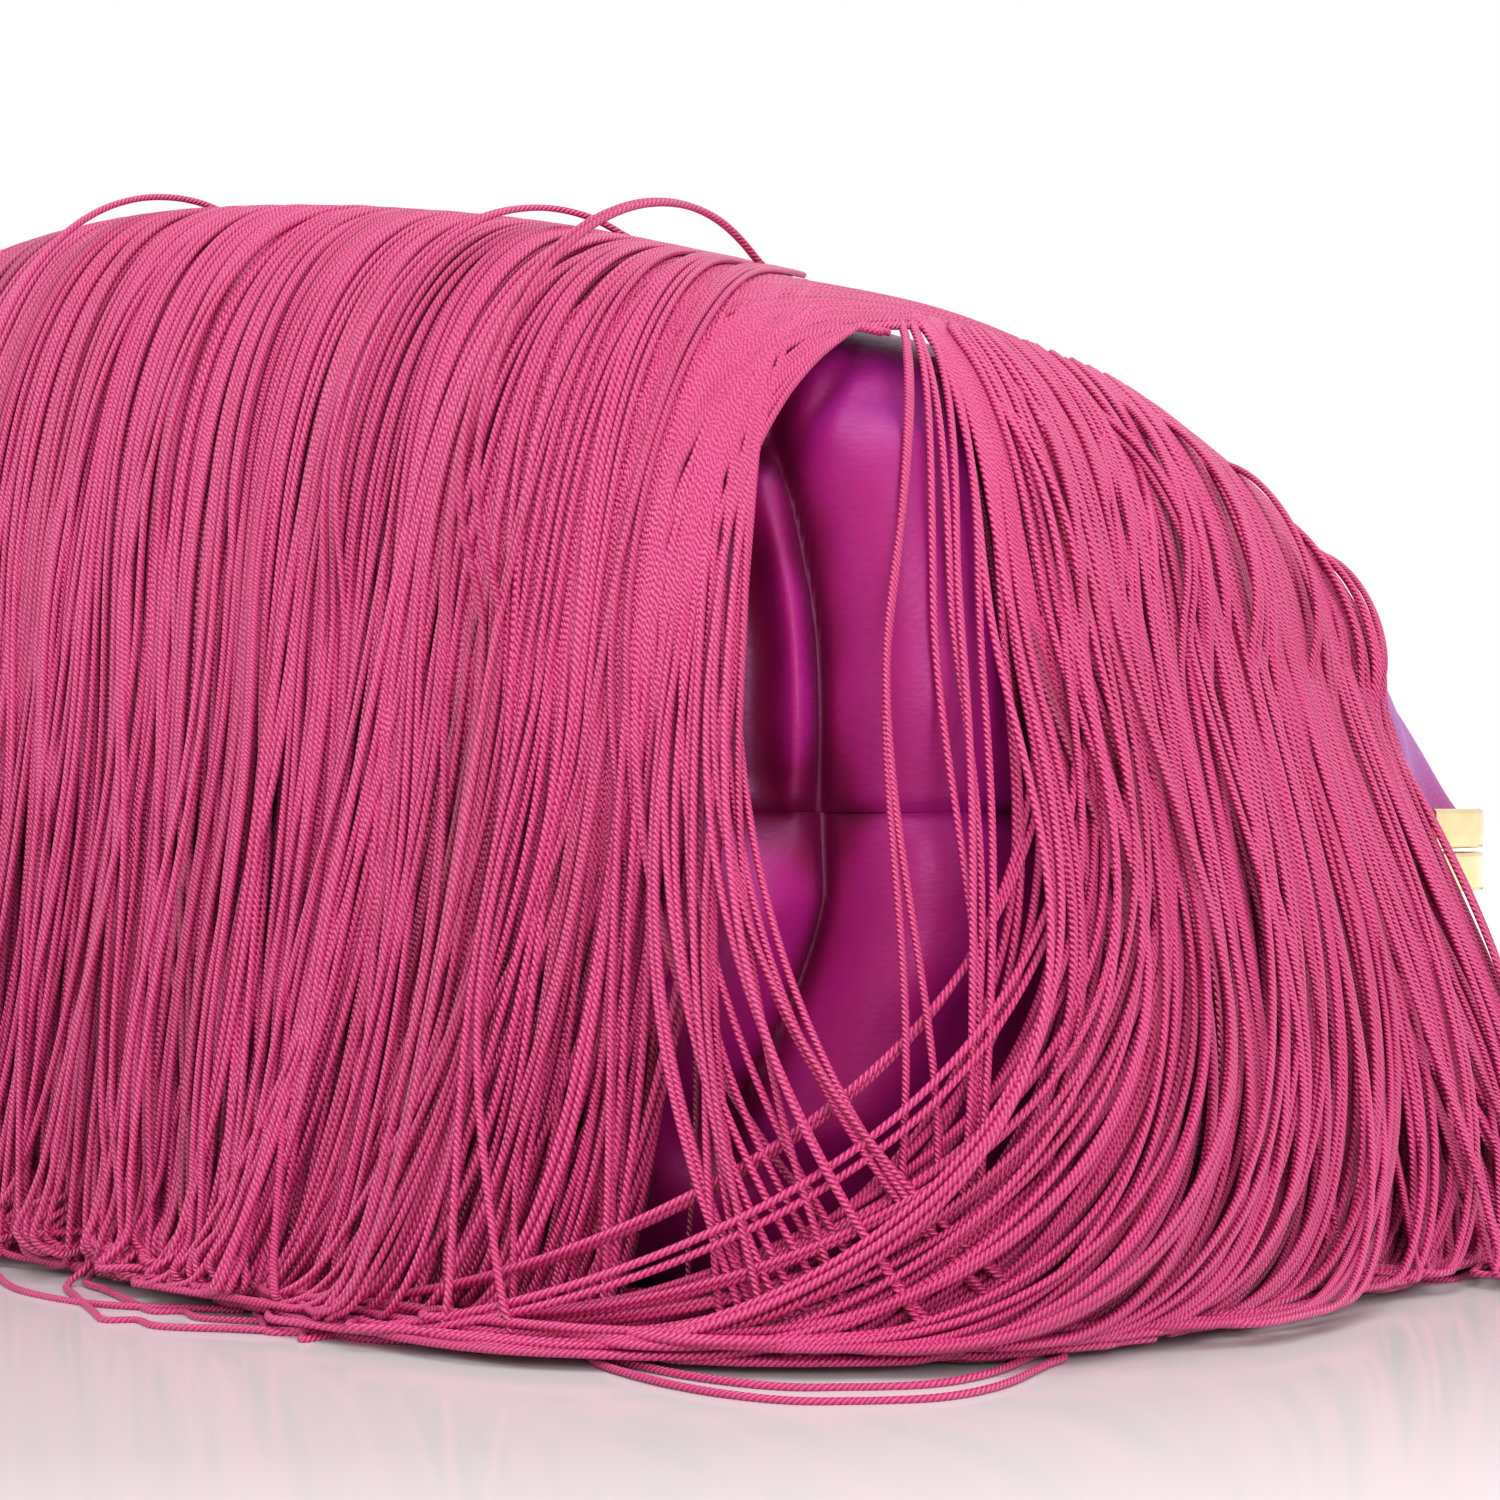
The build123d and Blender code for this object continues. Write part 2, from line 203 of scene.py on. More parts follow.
def cloth_relief(x, y, z, upper):
    """How far the satin stands proud of the smooth pouch: seams pull in, darts pinch, the wadding swells between them."""
    cx, cy = HALF_W - CORNER_R, BOTTOM_Y + CORNER_R
    ax = np.abs(x)
    dx, dy = ax - cx, y - cy
    r = np.hypot(dx, dy)
    ang = np.degrees(np.arctan2(-dy, dx))  # 45 at the corner's middle
    seam = table(T_SEAM, y)
    p = np.stack([x, y, z], -1)
    out = 0.9 * lattice_noise(p, 3, 46.0) + 0.35 * lattice_noise(p, 4, 19.0)

    # the seam round the pouch
    dz = z - seam
    open_part = np.clip((66 - y) / 10, 0, 1)
    ripple = 1 + 0.35 * lattice_noise(p, 7, 9.0)
    out = out - open_part * (1.5 * ripple * np.exp(-((dz / 0.75) ** 2)) + 0.9 * np.exp(-((dz / 5.0) ** 2)))
    out = out + open_part * 0.9 * np.exp(-(((np.abs(dz) - 13) / 9) ** 2))

    # the dart at each bottom corner
    near = np.exp(-np.maximum(0, np.abs(ang - 47) - 38) ** 2 / 120) * (r > 8)
    off = (ang - 45 - dart_line(z, upper)) * np.pi / 180 * np.maximum(r, 10)
    if upper:
        reach = np.clip((103 - z) / 6, 0, 1)
    else:
        reach = np.clip((z - 17) / 5, 0, 1)
    groove = 1.9 * np.exp(-((off / 0.7) ** 2)) + 3.6 * np.exp(-((off / 4.6) ** 2))
    swell = 2.8 * np.exp(-(((np.abs(off) - 12) / 7.5) ** 2))
    out = out + near * reach * (swell - groove)
    # the side of the dart that faces the bottom edge sinks into a valley
    out = out - near * 7.0 * np.exp(-(((off - 9) / 5.5) ** 2)) * np.clip((z - 46) / 14, 0, 1) * np.clip((104 - z) / 20, 0, 1)
    out = out + near * 2.4 * np.exp(-(((off - 3.2) / 1.7) ** 2)) * np.clip((z - 50) / 14, 0, 1) * np.clip((100 - z) / 20, 0, 1)
    # the dart's blind end
    if upper:
        tip_z, tip_a = 101.0, 53.0
    else:
        tip_z, tip_a = 20.0, 60.0
    along = (z - tip_z) * (1 if upper else -1)
    across = (ang - tip_a) * np.pi / 180 * np.maximum(r, 10)
    skew = across + 0.55 * along
    out = out - near * 4.6 * np.exp(-((skew / 3.4) ** 2) - ((along / 5.5) ** 2))
    out = out - near * 1.6 * np.exp(-(((skew + 5.5) / 1.6) ** 2) - (((along - 3) / 6) ** 2))
    out = out + near * 1.3 * np.exp(-(((skew - 8) / 5) ** 2) - (((along - 4) / 9) ** 2))
    # drag lines across the satin beside the dart
    fan = np.sin((z * 0.42 + off * 0.16) + 2.0 * lattice_noise(p, 9, 22.0))
    out = out + near * 0.28 * fan * np.exp(-((off / 16) ** 2)) * reach
    if not upper:
        fold = off - 9 - 0.35 * (48 - z)
        out = out + near * 1.6 * np.exp(-((fold / 3.2) ** 2)) * np.clip((46 - z) / 10, 0, 1) * np.clip((z - 6) / 10, 0, 1)
        out = out - near * 1.8 * np.exp(-(((fold - 5.0) / 2.4) ** 2)) * np.clip((44 - z) / 10, 0, 1) * np.clip((z - 6) / 10, 0, 1)
    # the wadding stops the satin from sinking further
    deep = np.maximum(0.0, -4.0 - out)
    return np.where(out < -4.0, -4.0 - 2.0 * np.tanh(deep / 2.0), out)


def graded(lo, hi, step, dense):
    """Numbers from lo to hi about a step apart, closer near the places in dense, each (place, width, step)."""
    out, v = [lo], lo
    while v < hi:
        s = step
        for place, width, fine in dense:
            k = min(1.0, max(0.0, (abs(v - place) - width) / (4 * width)))
            s = min(s, fine + (step - fine) * k)
        v += s
        out.append(v)
    out = np.array(out)
    return lo + (out - lo) * (hi - lo) / (out[-1] - lo)


def half_shell(upper, inset, step, relief=True, back=BACK_Y):
    """Vertices and quads of one half of the pouch, its cloth moved inwards by inset."""
    fine = [(0.0, 12.0, 0.55)] if relief else []
    u_right = graded(0.0, HALF_ARC + back - (BOTTOM_Y + CORNER_R), step, fine)
    u_bottom = graded(0.0, -U_LEFT_CORNER / 2, step, fine)
    u_bottom = np.concatenate([u_bottom, -U_LEFT_CORNER - u_bottom[::-1][1:]])  # 0 .. whole bottom
    nr, nb = len(u_right), len(u_bottom)
    # loop of columns: left side from the back, bottom, right side
    u_all = np.concatenate([(U_LEFT_CORNER - u_right)[::-1], (U_LEFT_CORNER + u_bottom)[1:-1], u_right])
    rows_t = graded(0.0, 74.0, 74.0 / (9 if step > 3 else 26), [(0.0, 4.0, 0.5)] if fine else [])
    rv, ex = (RV_T, EXP_T) if upper else (RV_B, EXP_B)

    def lift(x, y, a):
        seam, up, low = heights(x, y)
        h = up if upper else low
        b = (1 - np.clip(a, 0, 1) ** ex) ** (1 / ex)
        lip = np.clip((y - 70) / 8, 0, 1) * 3.4
        z = seam + (lip + np.maximum(h - lip, 0.4) * b) * (1 if upper else -1)
        return z

    wall = []
    for t in rows_t:
        th = math.radians(t)
        a = math.cos(th) ** (2 / ex)
        run = edge_run(outline(u_all)[1]) if upper else np.full_like(u_all, rv)
        x, y = plan_point(u_all, (1 - a) * run)
        z = lift(x, y, np.full_like(x, a))
        wall.append(np.stack([x, y, z], -1))
    wall = np.array(wall)  # rows, columns
    # top grid by transfinite interpolation of the last row
    edge = wall[-1][:, :2]
    left = edge[:nr]  # back .. corner
    bottom = edge[nr - 1 : nr - 1 + nb]
    right = edge[nr + nb - 2 :][::-1]  # back .. corner
    a = (u_bottom / u_bottom[-1])[None, :, None]
    b = (1 - u_right[::-1] / u_right[-1])[:, None, None]  # 0 at back, 1 at the bottom corner
    back_edge = left[0][None] * (1 - a[0]) + right[0][None] * a[0]
    L, R = left[:, None, :], right[:, None, :]
    B, T = bottom[None], back_edge[None]
    coons = (1 - a) * L + a * R + (1 - b) * T + b * B
    coons -= (1 - a) * (1 - b) * T[:, :1] + a * (1 - b) * T[:, -1:] + (1 - a) * b * B[:, :1] + a * b * B[:, -1:]
    gx, gy = coons[..., 0], coons[..., 1]
    aa = np.maximum(0, 1 + plan_sdf(gx, gy) / (edge_run(gy) if upper else rv))
    gz = lift(gx, gy, aa)
    grid = np.stack([gx, gy, gz], -1)
    pts = [wall[:-1].reshape(-1, 3), grid.reshape(-1, 3)]
    n_wall = (len(rows_t) - 1) * len(u_all)
    ids = np.arange(len(pts[1])).reshape(nr, nb) + n_wall
    top_loop = np.concatenate([ids[:, 0], ids[-1, 1:-1], ids[::-1, -1]])
    wid = np.arange(n_wall).reshape(len(rows_t) - 1, len(u_all))
    wid = np.vstack([wid, top_loop[None]])
    quads = [np.stack([wid[:-1, :-1], wid[:-1, 1:], wid[1:, 1:], wid[1:, :-1]], -1).reshape(-1, 4)]
    quads.append(np.stack([ids[:-1, :-1], ids[1:, :-1], ids[1:, 1:], ids[:-1, 1:]], -1).reshape(-1, 4))
    quads = np.vstack(quads)
    if not upper:
        quads = quads[:, ::-1]
    v = np.vstack(pts)
    # normals by faces, then relief and inset along them
    nrm = vertex_normals(v, quads)
    proud = cloth_relief(v[:, 0], v[:, 1], v[:, 2], upper) if relief else np.zeros(len(v))
    move = -inset + proud
    fade = np.clip((back - 4 - v[:, 1]) / 14, 0.0, 1)
    move = np.where(move > -inset, (move + inset) * fade - inset * np.maximum(fade, 0.25), move * np.maximum(fade, 0.25))
    v = v + nrm * move[:, None]
    # painted shade: how far the satin sinks into its seams and darts, kept as a mask with which the satin's colour is
    # darkened in those creases
    half_shell.fold = smooth01((-proud - 0.3) / 3.6)
    return v, quads


def vertex_normals(v, quads):
    d1, d2 = v[quads[:, 2]] - v[quads[:, 0]], v[quads[:, 3]] - v[quads[:, 1]]
    fn = np.cross(d1, d2)
    out = np.zeros_like(v)
    for k in range(4):
        np.add.at(out, quads[:, k], fn)
    return out / (np.linalg.norm(out, axis=1)[:, None] + 1e-12)


def mesh_object(name, v, faces, uv=None, smooth=True):
    """A Blender object from millimetre vertices and a face array (quads or triangles)."""
    me = bpy.data.meshes.new(name)
    v = np.asarray(v, np.float32) * MM
    k = faces.shape[1]
    me.vertices.add(len(v))
    me.vertices.foreach_set("co", v.ravel())
    me.loops.add(len(faces) * k)
    me.loops.foreach_set("vertex_index", faces.astype(np.int32).ravel())
    me.polygons.add(len(faces))
    me.polygons.foreach_set("loop_start", np.arange(0, len(faces) * k, k, dtype=np.int32))
    me.polygons.foreach_set("loop_total", np.full(len(faces), k, np.int32))
    if smooth:
        me.polygons.foreach_set("use_smooth", np.ones(len(faces), bool))
    if uv is not None:
        layer = me.uv_layers.new(name="cord")
        layer.data.foreach_set("uv", uv[faces.ravel()].astype(np.float32).ravel())
    me.update()
    me.validate()
    ob = bpy.data.objects.new(name, me)
    bpy.context.scene.collection.objects.link(ob)
    return ob




# -------------------------------------------------------------------- fringe
rng = np.random.default_rng(11)
LOOP = 184.0  # length of one leg of a looped strand, header to turn
CORD_D = 0.90  # diameter over all plies
POINTS = 47  # simulated points on one leg
PLY = 2.0  # length of one full turn of the three plies


def surface_z(x, y):
    """Height of the front panel's smooth surface over a plan position."""
    seam, up, low = heights(x, y)
    a = np.clip(1 + plan_sdf(x, y) / edge_run(y), 0, 0.999)
    return seam + up * (1 - a**EXP_T) ** (1 / EXP_T)


def resample(paths, length, count):
    """Points at equal spacing along each path (N, K, 3), from its start to the given length (N,)."""
    seg = np.linalg.norm(np.diff(paths, axis=1), axis=2)
    s = np.concatenate([np.zeros((len(paths), 1)), np.cumsum(seg, axis=1)], axis=1)
    out = np.empty((len(paths), count, 3))
    for i in range(len(paths)):
        at = np.linspace(0, min(length[i], s[i, -1]), count)
        for k in range(3):
            out[i, :, k] = np.interp(at, s[i], paths[i, :, k])
    return out


def leg_paths(hx, hy, u1, off, sweep, bulge, land, tail_u, tail_o, pile, wander, power=2.2, fall_power=1.7, kick=0.0, clump=0.0, round_z=1.25, seed=0.0, sway=1.0, loft=0.0, via_x=None, via_y=None):
    """Paths of legs from the header (hx, hy) over the front panel's edge at arc length u1, down and along the table."""
    n = len(hx)
    col = lambda v: np.broadcast_to(np.asarray(v, float), (n,))[:, None]
    ex_in = 1.3
    ex, ey = plan_point(u1, ex_in)
    s = np.linspace(0, 1, 34)[None]
    t = 1 - (1 - s) ** 2.2
    vx = (hx + ex) / 2 if via_x is None else via_x
    vy = (hy + ey) / 2 if via_y is None else via_y
    x = hx[:, None] * (1 - t) ** 2 + 2 * vx[:, None] * t * (1 - t) + ex[:, None] * t**2
    y = hy[:, None] * (1 - t) ** 2 + 2 * vy[:, None] * t * (1 - t) + ey[:, None] * t**2
    z = surface_z(x, y)
    top = np.stack([x, y, z], -1)
    _, nrm = body_distance(top)
    rise = np.minimum(1, s * 9)  # they leave the tape and climb onto the others
    top = top + nrm * (col(off) * (0.25 + 0.75 * rise) + col(loft) * np.sin(np.pi * s) ** 0.8)[..., None]
    # fall
    z1 = top[:, -1, 2][:, None]
    s = np.linspace(0, 1, 46)[None, 1:]
    u = u1[:, None] + col(sweep) * s ** col(power) + col(kick) * np.sin(np.pi * s**0.8) + col(clump) * smooth01(s * 2.0)
    o = col(off) - ex_in + col(land) * s ** col(fall_power) + col(bulge) * np.sin(np.pi * s)
    px, py = plan_point(u, -o)
    h = (1 - s) ** col(round_z)
    fall = np.stack([px, py, z1 * h + col(pile) * (1 - h)], -1)
    # tail on the table
    s = np.linspace(0, 1, 40)[None, 1:]
    u = u[:, -1:] + col(tail_u) * s
    o = o[:, -1:] + col(tail_o) * np.sin(np.minimum(s * 1.1, 1) * np.pi / 2)
    px, py = plan_point(u, -o)
    tail = np.stack([px, py, np.broadcast_to(col(pile), px.shape) * (1 - 0.5 * s)], -1)
    path = np.concatenate([top, fall, tail], axis=1)
    # slow wandering along the outline, each strand by itself and in bunches that sway together
    k = np.linspace(0, 1, path.shape[1])[None]
    tx, ty = -(ey - plan_point(u1, 30.0)[1]), ex - plan_point(u1, 30.0)[0]
    size = np.hypot(tx, ty) + 1e-9
    tx, ty = (tx / size)[:, None], (ty / size)[:, None]
    ph = rng.uniform(0, 2 * np.pi, (n, 3))
    w = sum(np.sin(k * f * np.pi + ph[:, i : i + 1]) / f for i, f in enumerate((2.0, 4.3, 8.1)))
    w = w * col(wander) * smooth01(k * 5)
    at = np.stack(np.broadcast_arrays(np.asarray(u1, float), np.asarray(seed, float), 0.0), -1)
    turn = [lattice_noise(at, 21 + i, scale)[:, None] * reach for i, (scale, reach) in enumerate(((18.0, 1.1), (9.0, 0.8), (12.0, 1.0), (5.0, 0.8)))]
    bunch = 2.4 * np.sin(2 * np.pi * (0.95 * k + turn[0])) + 0.9 * np.sin(2 * np.pi * (2.1 * k + turn[1])) + 0.35 * np.sin(2 * np.pi * (3.7 * k + turn[3]))
    w = w + bunch * col(sway) * smooth01(k * 2.6)
    out = (1.1 * np.sin(2 * np.pi * (0.9 * k + turn[2])) + 0.5) * col(sway) * smooth01(k * 3) * (path[..., 2] > 6)
    path[..., 0] += w * tx + out * ty
    path[..., 1] += w * ty - out * tx
    return path


def clump_shift(u, seed, spacing, pull):
    """How far each strand is drawn towards the middle of its bunch."""
    r = np.random.default_rng(seed)
    centres = np.cumsum(r.uniform(0.55, 1.45, 400) * spacing) - 560
    at = np.clip(np.searchsorted(centres, u), 1, len(centres) - 1)
    left, right = centres[at - 1], centres[at]
    near = np.where(u - left < right - u, left, right)
    return (near - u) * pull


def gather(u):
    """Sweep of the bottom run's lower ends towards the places where they bunch on the table."""
    out = np.zeros_like(u)
    for g, reach, k, right in ((-60, 50, 0.50, 0.62), (-124, 26, 0.30, 0.30), (-172, 36, 0.45, 0.42), (-236, 36, 0.42, 0.45)):
        d = g - u
        out += d * np.where(d < 0, right, k) * np.exp(-((d / reach) ** 2) * 0.8)
    return out


legs = []  # dictionaries of arrays, two rows for each loop


def add_run(name, u_from, u_to, layer, kind, pitch=1.06):
    """One layer of loops along a header row."""
    n = int(abs(u_to - u_from) / pitch / 2)
    centre = np.linspace(min(u_from, u_to), max(u_from, u_to), n) + rng.uniform(-0.45, 0.45, n)
    row, sub = layer // 2, layer % 2
    gap = pitch * rng.uniform(0.9, 1.3, n)
    jit = rng.normal(0, 1, (8, n))
    off = 0.75 + 0.80 * layer + rng.uniform(-0.3, 0.7, n)
    off = off * (1.0 - 0.5 * np.exp(-(((centre + 15.0) / 18.0) ** 2)) * (kind == "bottom"))
    pull = rng.uniform(0.25, 0.85, n)
    curl = lattice_noise(np.stack([centre, 0 * centre, 0 * centre + 9.0 * layer], -1), 31, 17.0)
    curl2 = lattice_noise(np.stack([centre, 0 * centre, 0 * centre + 5.0 * layer], -1), 32, 8.0)
    free = rng.random(n) < 0.24
    legs_here = []
    for side in (-1, 1):
        u1 = centre + side * gap / 2
        top = layer >= 3
        if kind == "bottom":
            x_edge, _ = plan_point(u1, 0.0)
            hx = x_edge * 0.985 + 1.5 + (0.5 + 1.1 * (layer > 3)) * jit[6] - (10.0 + 4.0 * row) * np.exp(-(((u1 + 12) / 26) ** 2)) + 14.0 * np.exp(-(((u1 - U_LEFT_CORNER - 13) / 26) ** 2)) + rng.normal(0, 0.25, n)
            hy = np.full(n, -53.0 + 5.0 * row + 1.6 * sub) + rng.normal(0, 0.3, n)
            lean = -5.0 * smooth01((u1 + 120) / 70) * smooth01((-u1 - 10) / 25)
            sweep = gather(u1) * (0.55 + 0.65 * rng.random(n)) + lean + (2.4 + 3.5 * (rng.random(n) < 0.25)) * jit[0] + 5.0 * curl
            clump = clump_shift(u1, 100 + layer // 2, 5.2, pull) + clump_shift(u1, 140 + layer // 3, 15.0, 0.5 * pull)
            land = 5.0 + 1.3 * layer + 2.6 * np.abs(jit[1]) + 3.0 * curl + 2.5 * curl2
            bulge = 1.2 + 1.2 * jit[2] + 1.2 * curl
            tail_u = 20 * curl + 10 * jit[3] + 0.9 * gather(u1)
            near_right = np.exp(-(((u1 + 32) / 24) ** 2))
            tail_u = tail_u * (1 - near_right) + (-26 + 6 * jit[3]) * near_right
            tail_o = -22.0 + 5.0 * curl2 + 4.0 * jit[4] + 12.0 * (layer > 4)
            power = 2.6 + 0.5 * jit[5]
            wander = 0.6 + 0.9 * rng.random(n)
            fall_power = 1.8
            kick = 0.0 * u1
            round_z = 1.12
        else:
            s = 1 if kind == "right" else -1
            v = u1 if s > 0 else U_LEFT_CORNER - u1  # distance up the side from the corner's middle
            inset = 11.0 + 3.6 * row + 1.2 * sub
            lean = 3.0 + 5.0 * rng.random(n)
            hx, hy = plan_point(u1 + s * lean, np.full(n, inset) + rng.normal(0, 0.3, n))
            far = smooth01((v - 66) / 40)
            if s > 0:
                sw = -(34 + 9 * curl + 9 * jit[7] * np.exp(-(((v - 22) / 16) ** 2))) * (1 - far) + 3 * far
            else:
                sw = -(18 + 12 * curl) * (1 - far) + 4 * far
            sweep = s * (sw + 5.5 * jit[0])
            clump = clump_shift(u1, 200 + layer // 2, 5.0, pull) + clump_shift(u1, 240 + layer // 3, 14.0, 0.5 * pull)
            kick = s * (8.5 * np.exp(-(((v - 19) / 20) ** 2)) + 2.0)
            land = 8.0 + 1.3 * layer + 2.4 * np.abs(jit[1]) + 9.0 * far + 3.5 * curl2
            bulge = 3.0 + 0.7 * layer + 1.5 * jit[2] + 5 * smooth01((v - 45) / 60)
            tail_u = s * (-(16 + 14 * curl + 10 * jit[3]) * (1 - far) + (-8 + 16 * jit[3]) * far)
            tail_o = (-29.0 + 5.0 * curl2 + 4.0 * jit[4] + 15.0 * (layer > 4)) * (1 - far) + (-6 + 6 * jit[4]) * far
            power = 2.5 + 0.35 * jit[5]
            wander = 0.8 + 1.0 * rng.random(n)
            fall_power = 1.5
            round_z = 1.4
        pile = 0.45 + rng.uniform(0, 0.8, n) + 0.62 * layer + 2.2 * np.abs(curl2) * (layer > 1)
        wander = np.where(free, wander * 3.2, wander)
        sweep = np.where(free, sweep + 6.0 * jit[7] * (-1 if kind == "left" else 1), sweep)
        pile = pile * (1 - 0.4 * (layer < 4))
        off_here = np.where(free & top, off + 1.2, off)
        legs_here.append(dict(hx=hx, hy=hy, u1=u1, off=off_here, sweep=sweep, bulge=bulge, land=land, tail_u=tail_u, tail_o=tail_o, pile=pile, wander=wander, power=np.maximum(power, 1.4), fall_power=np.full(n, fall_power), kick=kick, clump=np.where(free, 0.2 * clump, clump), round_z=round_z, seed=30.0 * layer, sway=1.0 + 0.25 * sub))
    state = rng.bit_generator.state
    a = leg_paths(**legs_here[0])
    rng.bit_generator.state = state  # both legs of a loop wander together
    b = leg_paths(**legs_here[1])
    length = LOOP + rng.normal(0, 2.5, n)
    legs.append(dict(name=name, layer=layer, u=centre, a=resample(a, length, POINTS), b=resample(b, length, POINTS)))


SIDE_END = HALF_ARC + 27 - (BOTTOM_Y + CORNER_R)
for layer in range(6):
    add_run("bottom", -17.5 - 1.2 * (layer % 3), U_LEFT_CORNER + 13.0, layer, "bottom")
    add_run("right", 18.5 + 1.6 * (layer % 3), SIDE_END, layer, "right")
    add_run("left", U_LEFT_CORNER - 15.0, U_LEFT_CORNER - SIDE_END, layer, "left")


def add_free(name, hx, hy, u1, off, sweep, bulge, land, tail_u, tail_o, pile, wander, power, fall_power=1.5, spread=1.2, length=LOOP, kick=0.0, round_z=1.25, sway=0.6, part=3.0, loft=0.0, via=None):
    """Single loops whose two legs have drifted apart."""
    arr = lambda v: np.atleast_1d(np.asarray(v, float))
    keys = ("hx", "hy", "u1", "off", "sweep", "bulge", "land", "tail_u", "tail_o", "pile", "wander", "power", "fall_power", "kick", "round_z", "sway", "loft")
    q = [arr(v) for v in (hx, hy, u1, off, sweep, bulge, land, tail_u, tail_o, pile, wander, power, fall_power, kick, round_z, sway, loft)]
    n = max(len(v) for v in q)
    q = [np.broadcast_to(v, (n,)).copy() for v in q]
    seed = rng.uniform(0, 900, n)
    extra = {} if via is None else dict(via_x=via[0], via_y=via[1])
    a = leg_paths(**dict(zip(keys, q)), seed=seed, **extra)
    q[2] = q[2] + spread
    q[4] = q[4] + rng.normal(0, part, n)
    b = leg_paths(**dict(zip(keys, q)), seed=seed + 5, **extra)
    legs.append(dict(name=name, layer=9, u=q[2], a=resample(a, np.full(n, length), POINTS), b=resample(b, np.full(n, length), POINTS)))


def side_header(u, inset):
    return plan_point(np.atleast_1d(np.asarray(u, float)), inset)


# strands that run along the corner of the front panel before they fall
n = 30
hy = np.linspace(-52, -20, n) + rng.normal(0, 0.8, n)
hx = np.interp(hy, [-52, -10], [125, 135]) + rng.normal(0, 1.4, n)
u1 = np.linspace(-15, -43, n) + rng.normal(0, 2.2, n)
along = (np.linspace(112, 100, n) + rng.normal(0, 1.5, n), np.linspace(-58, -52, n) + rng.normal(0, 1.5, n))
add_free("corner_sweep", hx, hy, u1, 0.5 + 1.7 * rng.random(n), -8 - 12 * rng.random(n), 1.5, 10 + 3 * rng.random(n), -18 + 8 * rng.normal(0, 1, n), -14.0, 2.4 + rng.random(n), 1.4, 2.2, via=along, length=LOOP + 8, sway=1.3)
n = 22  # under them, close to the satin
hy = np.linspace(-56, -30, n) + rng.normal(0, 0.6, n)
hx = np.interp(hy, [-56, -10], [127, 136]) + rng.normal(0, 0.8, n)
along = (np.linspace(118, 106, n) + rng.normal(0, 1.0, n), np.linspace(-66, -56, n) + rng.normal(0, 0.8, n))
add_free("corner_under", hx, hy, np.linspace(-16, -36, n) + rng.normal(0, 1.6, n), 0.4 + 0.9 * rng.random(n), -8 - 10 * rng.random(n), 1.0, 8.0 + 2 * rng.random(n), -16.0, -14.0, 2.0 + rng.random(n), 0.5, 2.2, via=along, length=LOOP + 6, sway=0.4)
n = 15
add_free("corner_fan", np.linspace(102, 121, n) + rng.normal(0, 0.8, n), np.linspace(-45, -56, n) + rng.normal(0, 1.0, n), np.linspace(-38, -16, n) + rng.normal(0, 1.8, n), 1.0 + 2.6 * rng.random(n), -6 - 8 * rng.random(n), 1.5, 10 + 3 * rng.random(n), -20 + 8 * rng.normal(0, 1, n), -3.0, 2.0 + rng.random(n), 0.8, 2.2)
# strands that cross the bare corner, from both sides
n = 9
u1 = rng.uniform(-16, -10, n)
add_free("corner_left", 109 + rng.normal(0, 2, n), -50 + rng.normal(0, 1, n), u1, 3.0 + 2.5 * rng.random(n), np.array([3, 6, 9, 12, 15, 19, 24, 29, 34.0]), 3.0 + 3 * rng.random(n), 14 + 5 * rng.random(n), 10 + 8 * rng.random(n), 0.0, 2.5, 1.4, 1.35 + 0.5 * rng.random(n), kick=-3.0)
n = 26
u1 = np.concatenate([rng.uniform(15, 21, 8), rng.uniform(19, 34, 18)])
hx, hy = plan_point(u1 + 8, np.concatenate([np.full(8, 22.0), np.full(18, 15.0)]) + rng.normal(0, 1.5, n))
sw = np.concatenate([-np.linspace(24, 56, 8), -np.linspace(36, 86, 18)])
add_free("corner_right", hx, hy, u1, 3.5 + 3.0 * rng.random(n), sw, 4.0 + 4 * rng.random(n), 10 + 7 * rng.random(n), -16 - 16 * rng.random(n), -3.0 + 5 * rng.random(n), 2.2 + 2 * rng.random(n), 1.6, 1.5 + 0.9 * rng.random(n), kick=6.0, round_z=1.5, part=5.0)
# three that hang nearly straight in front of the bare corner
add_free("corner_plumb", *side_header(np.array([22.0, 25.0, 20.0]), 22.0), np.array([8.5, 12.0, 5.0]), np.array([4.0, 5.0, 4.5]), np.array([0.0, -7.0, -3.0]), 5.0, 11.0, -20.0, 1.0, 2.0, 1.6, 1.6, kick=1.5, sway=0.8, part=1.0, spread=1.6)
n = 16
u1 = rng.uniform(U_LEFT_CORNER - 22, U_LEFT_CORNER + 16, n)
hx, hy = plan_point(u1, 30 + rng.normal(0, 2.0, n))
add_free("corner_far", hx, hy, u1, 3.0 + 3.0 * rng.random(n), rng.normal(0, 16, n), 3.0, 12 + 6 * rng.random(n), rng.normal(0, 14, n), 0.0, 3.0, 1.5, 1.8)
# the last strands of the right header spread out behind the curtain
n = 76
u1 = rng.uniform(SIDE_END - 34, SIDE_END + 1, n)
hx, hy = plan_point(u1 + 1.0, 15 + rng.normal(0, 3.0, n))
add_free("side_back", hx, hy, u1, 2.0 + 4.0 * rng.random(n), rng.uniform(-12, 44, n), 4.0 + 3 * rng.random(n), rng.uniform(12, 32, n), rng.uniform(-6, 34, n), rng.uniform(-8, 6, n), 1.0 + 3.5 * rng.random(n), 1.6, 1.4 + 0.6 * rng.random(n), fall_power=1.3, round_z=1.5)
n = 8
u1 = rng.uniform(U_LEFT_CORNER - SIDE_END, U_LEFT_CORNER - SIDE_END + 24, n)
hx, hy = plan_point(u1 - 1.0, 15 + rng.normal(0, 3.0, n))
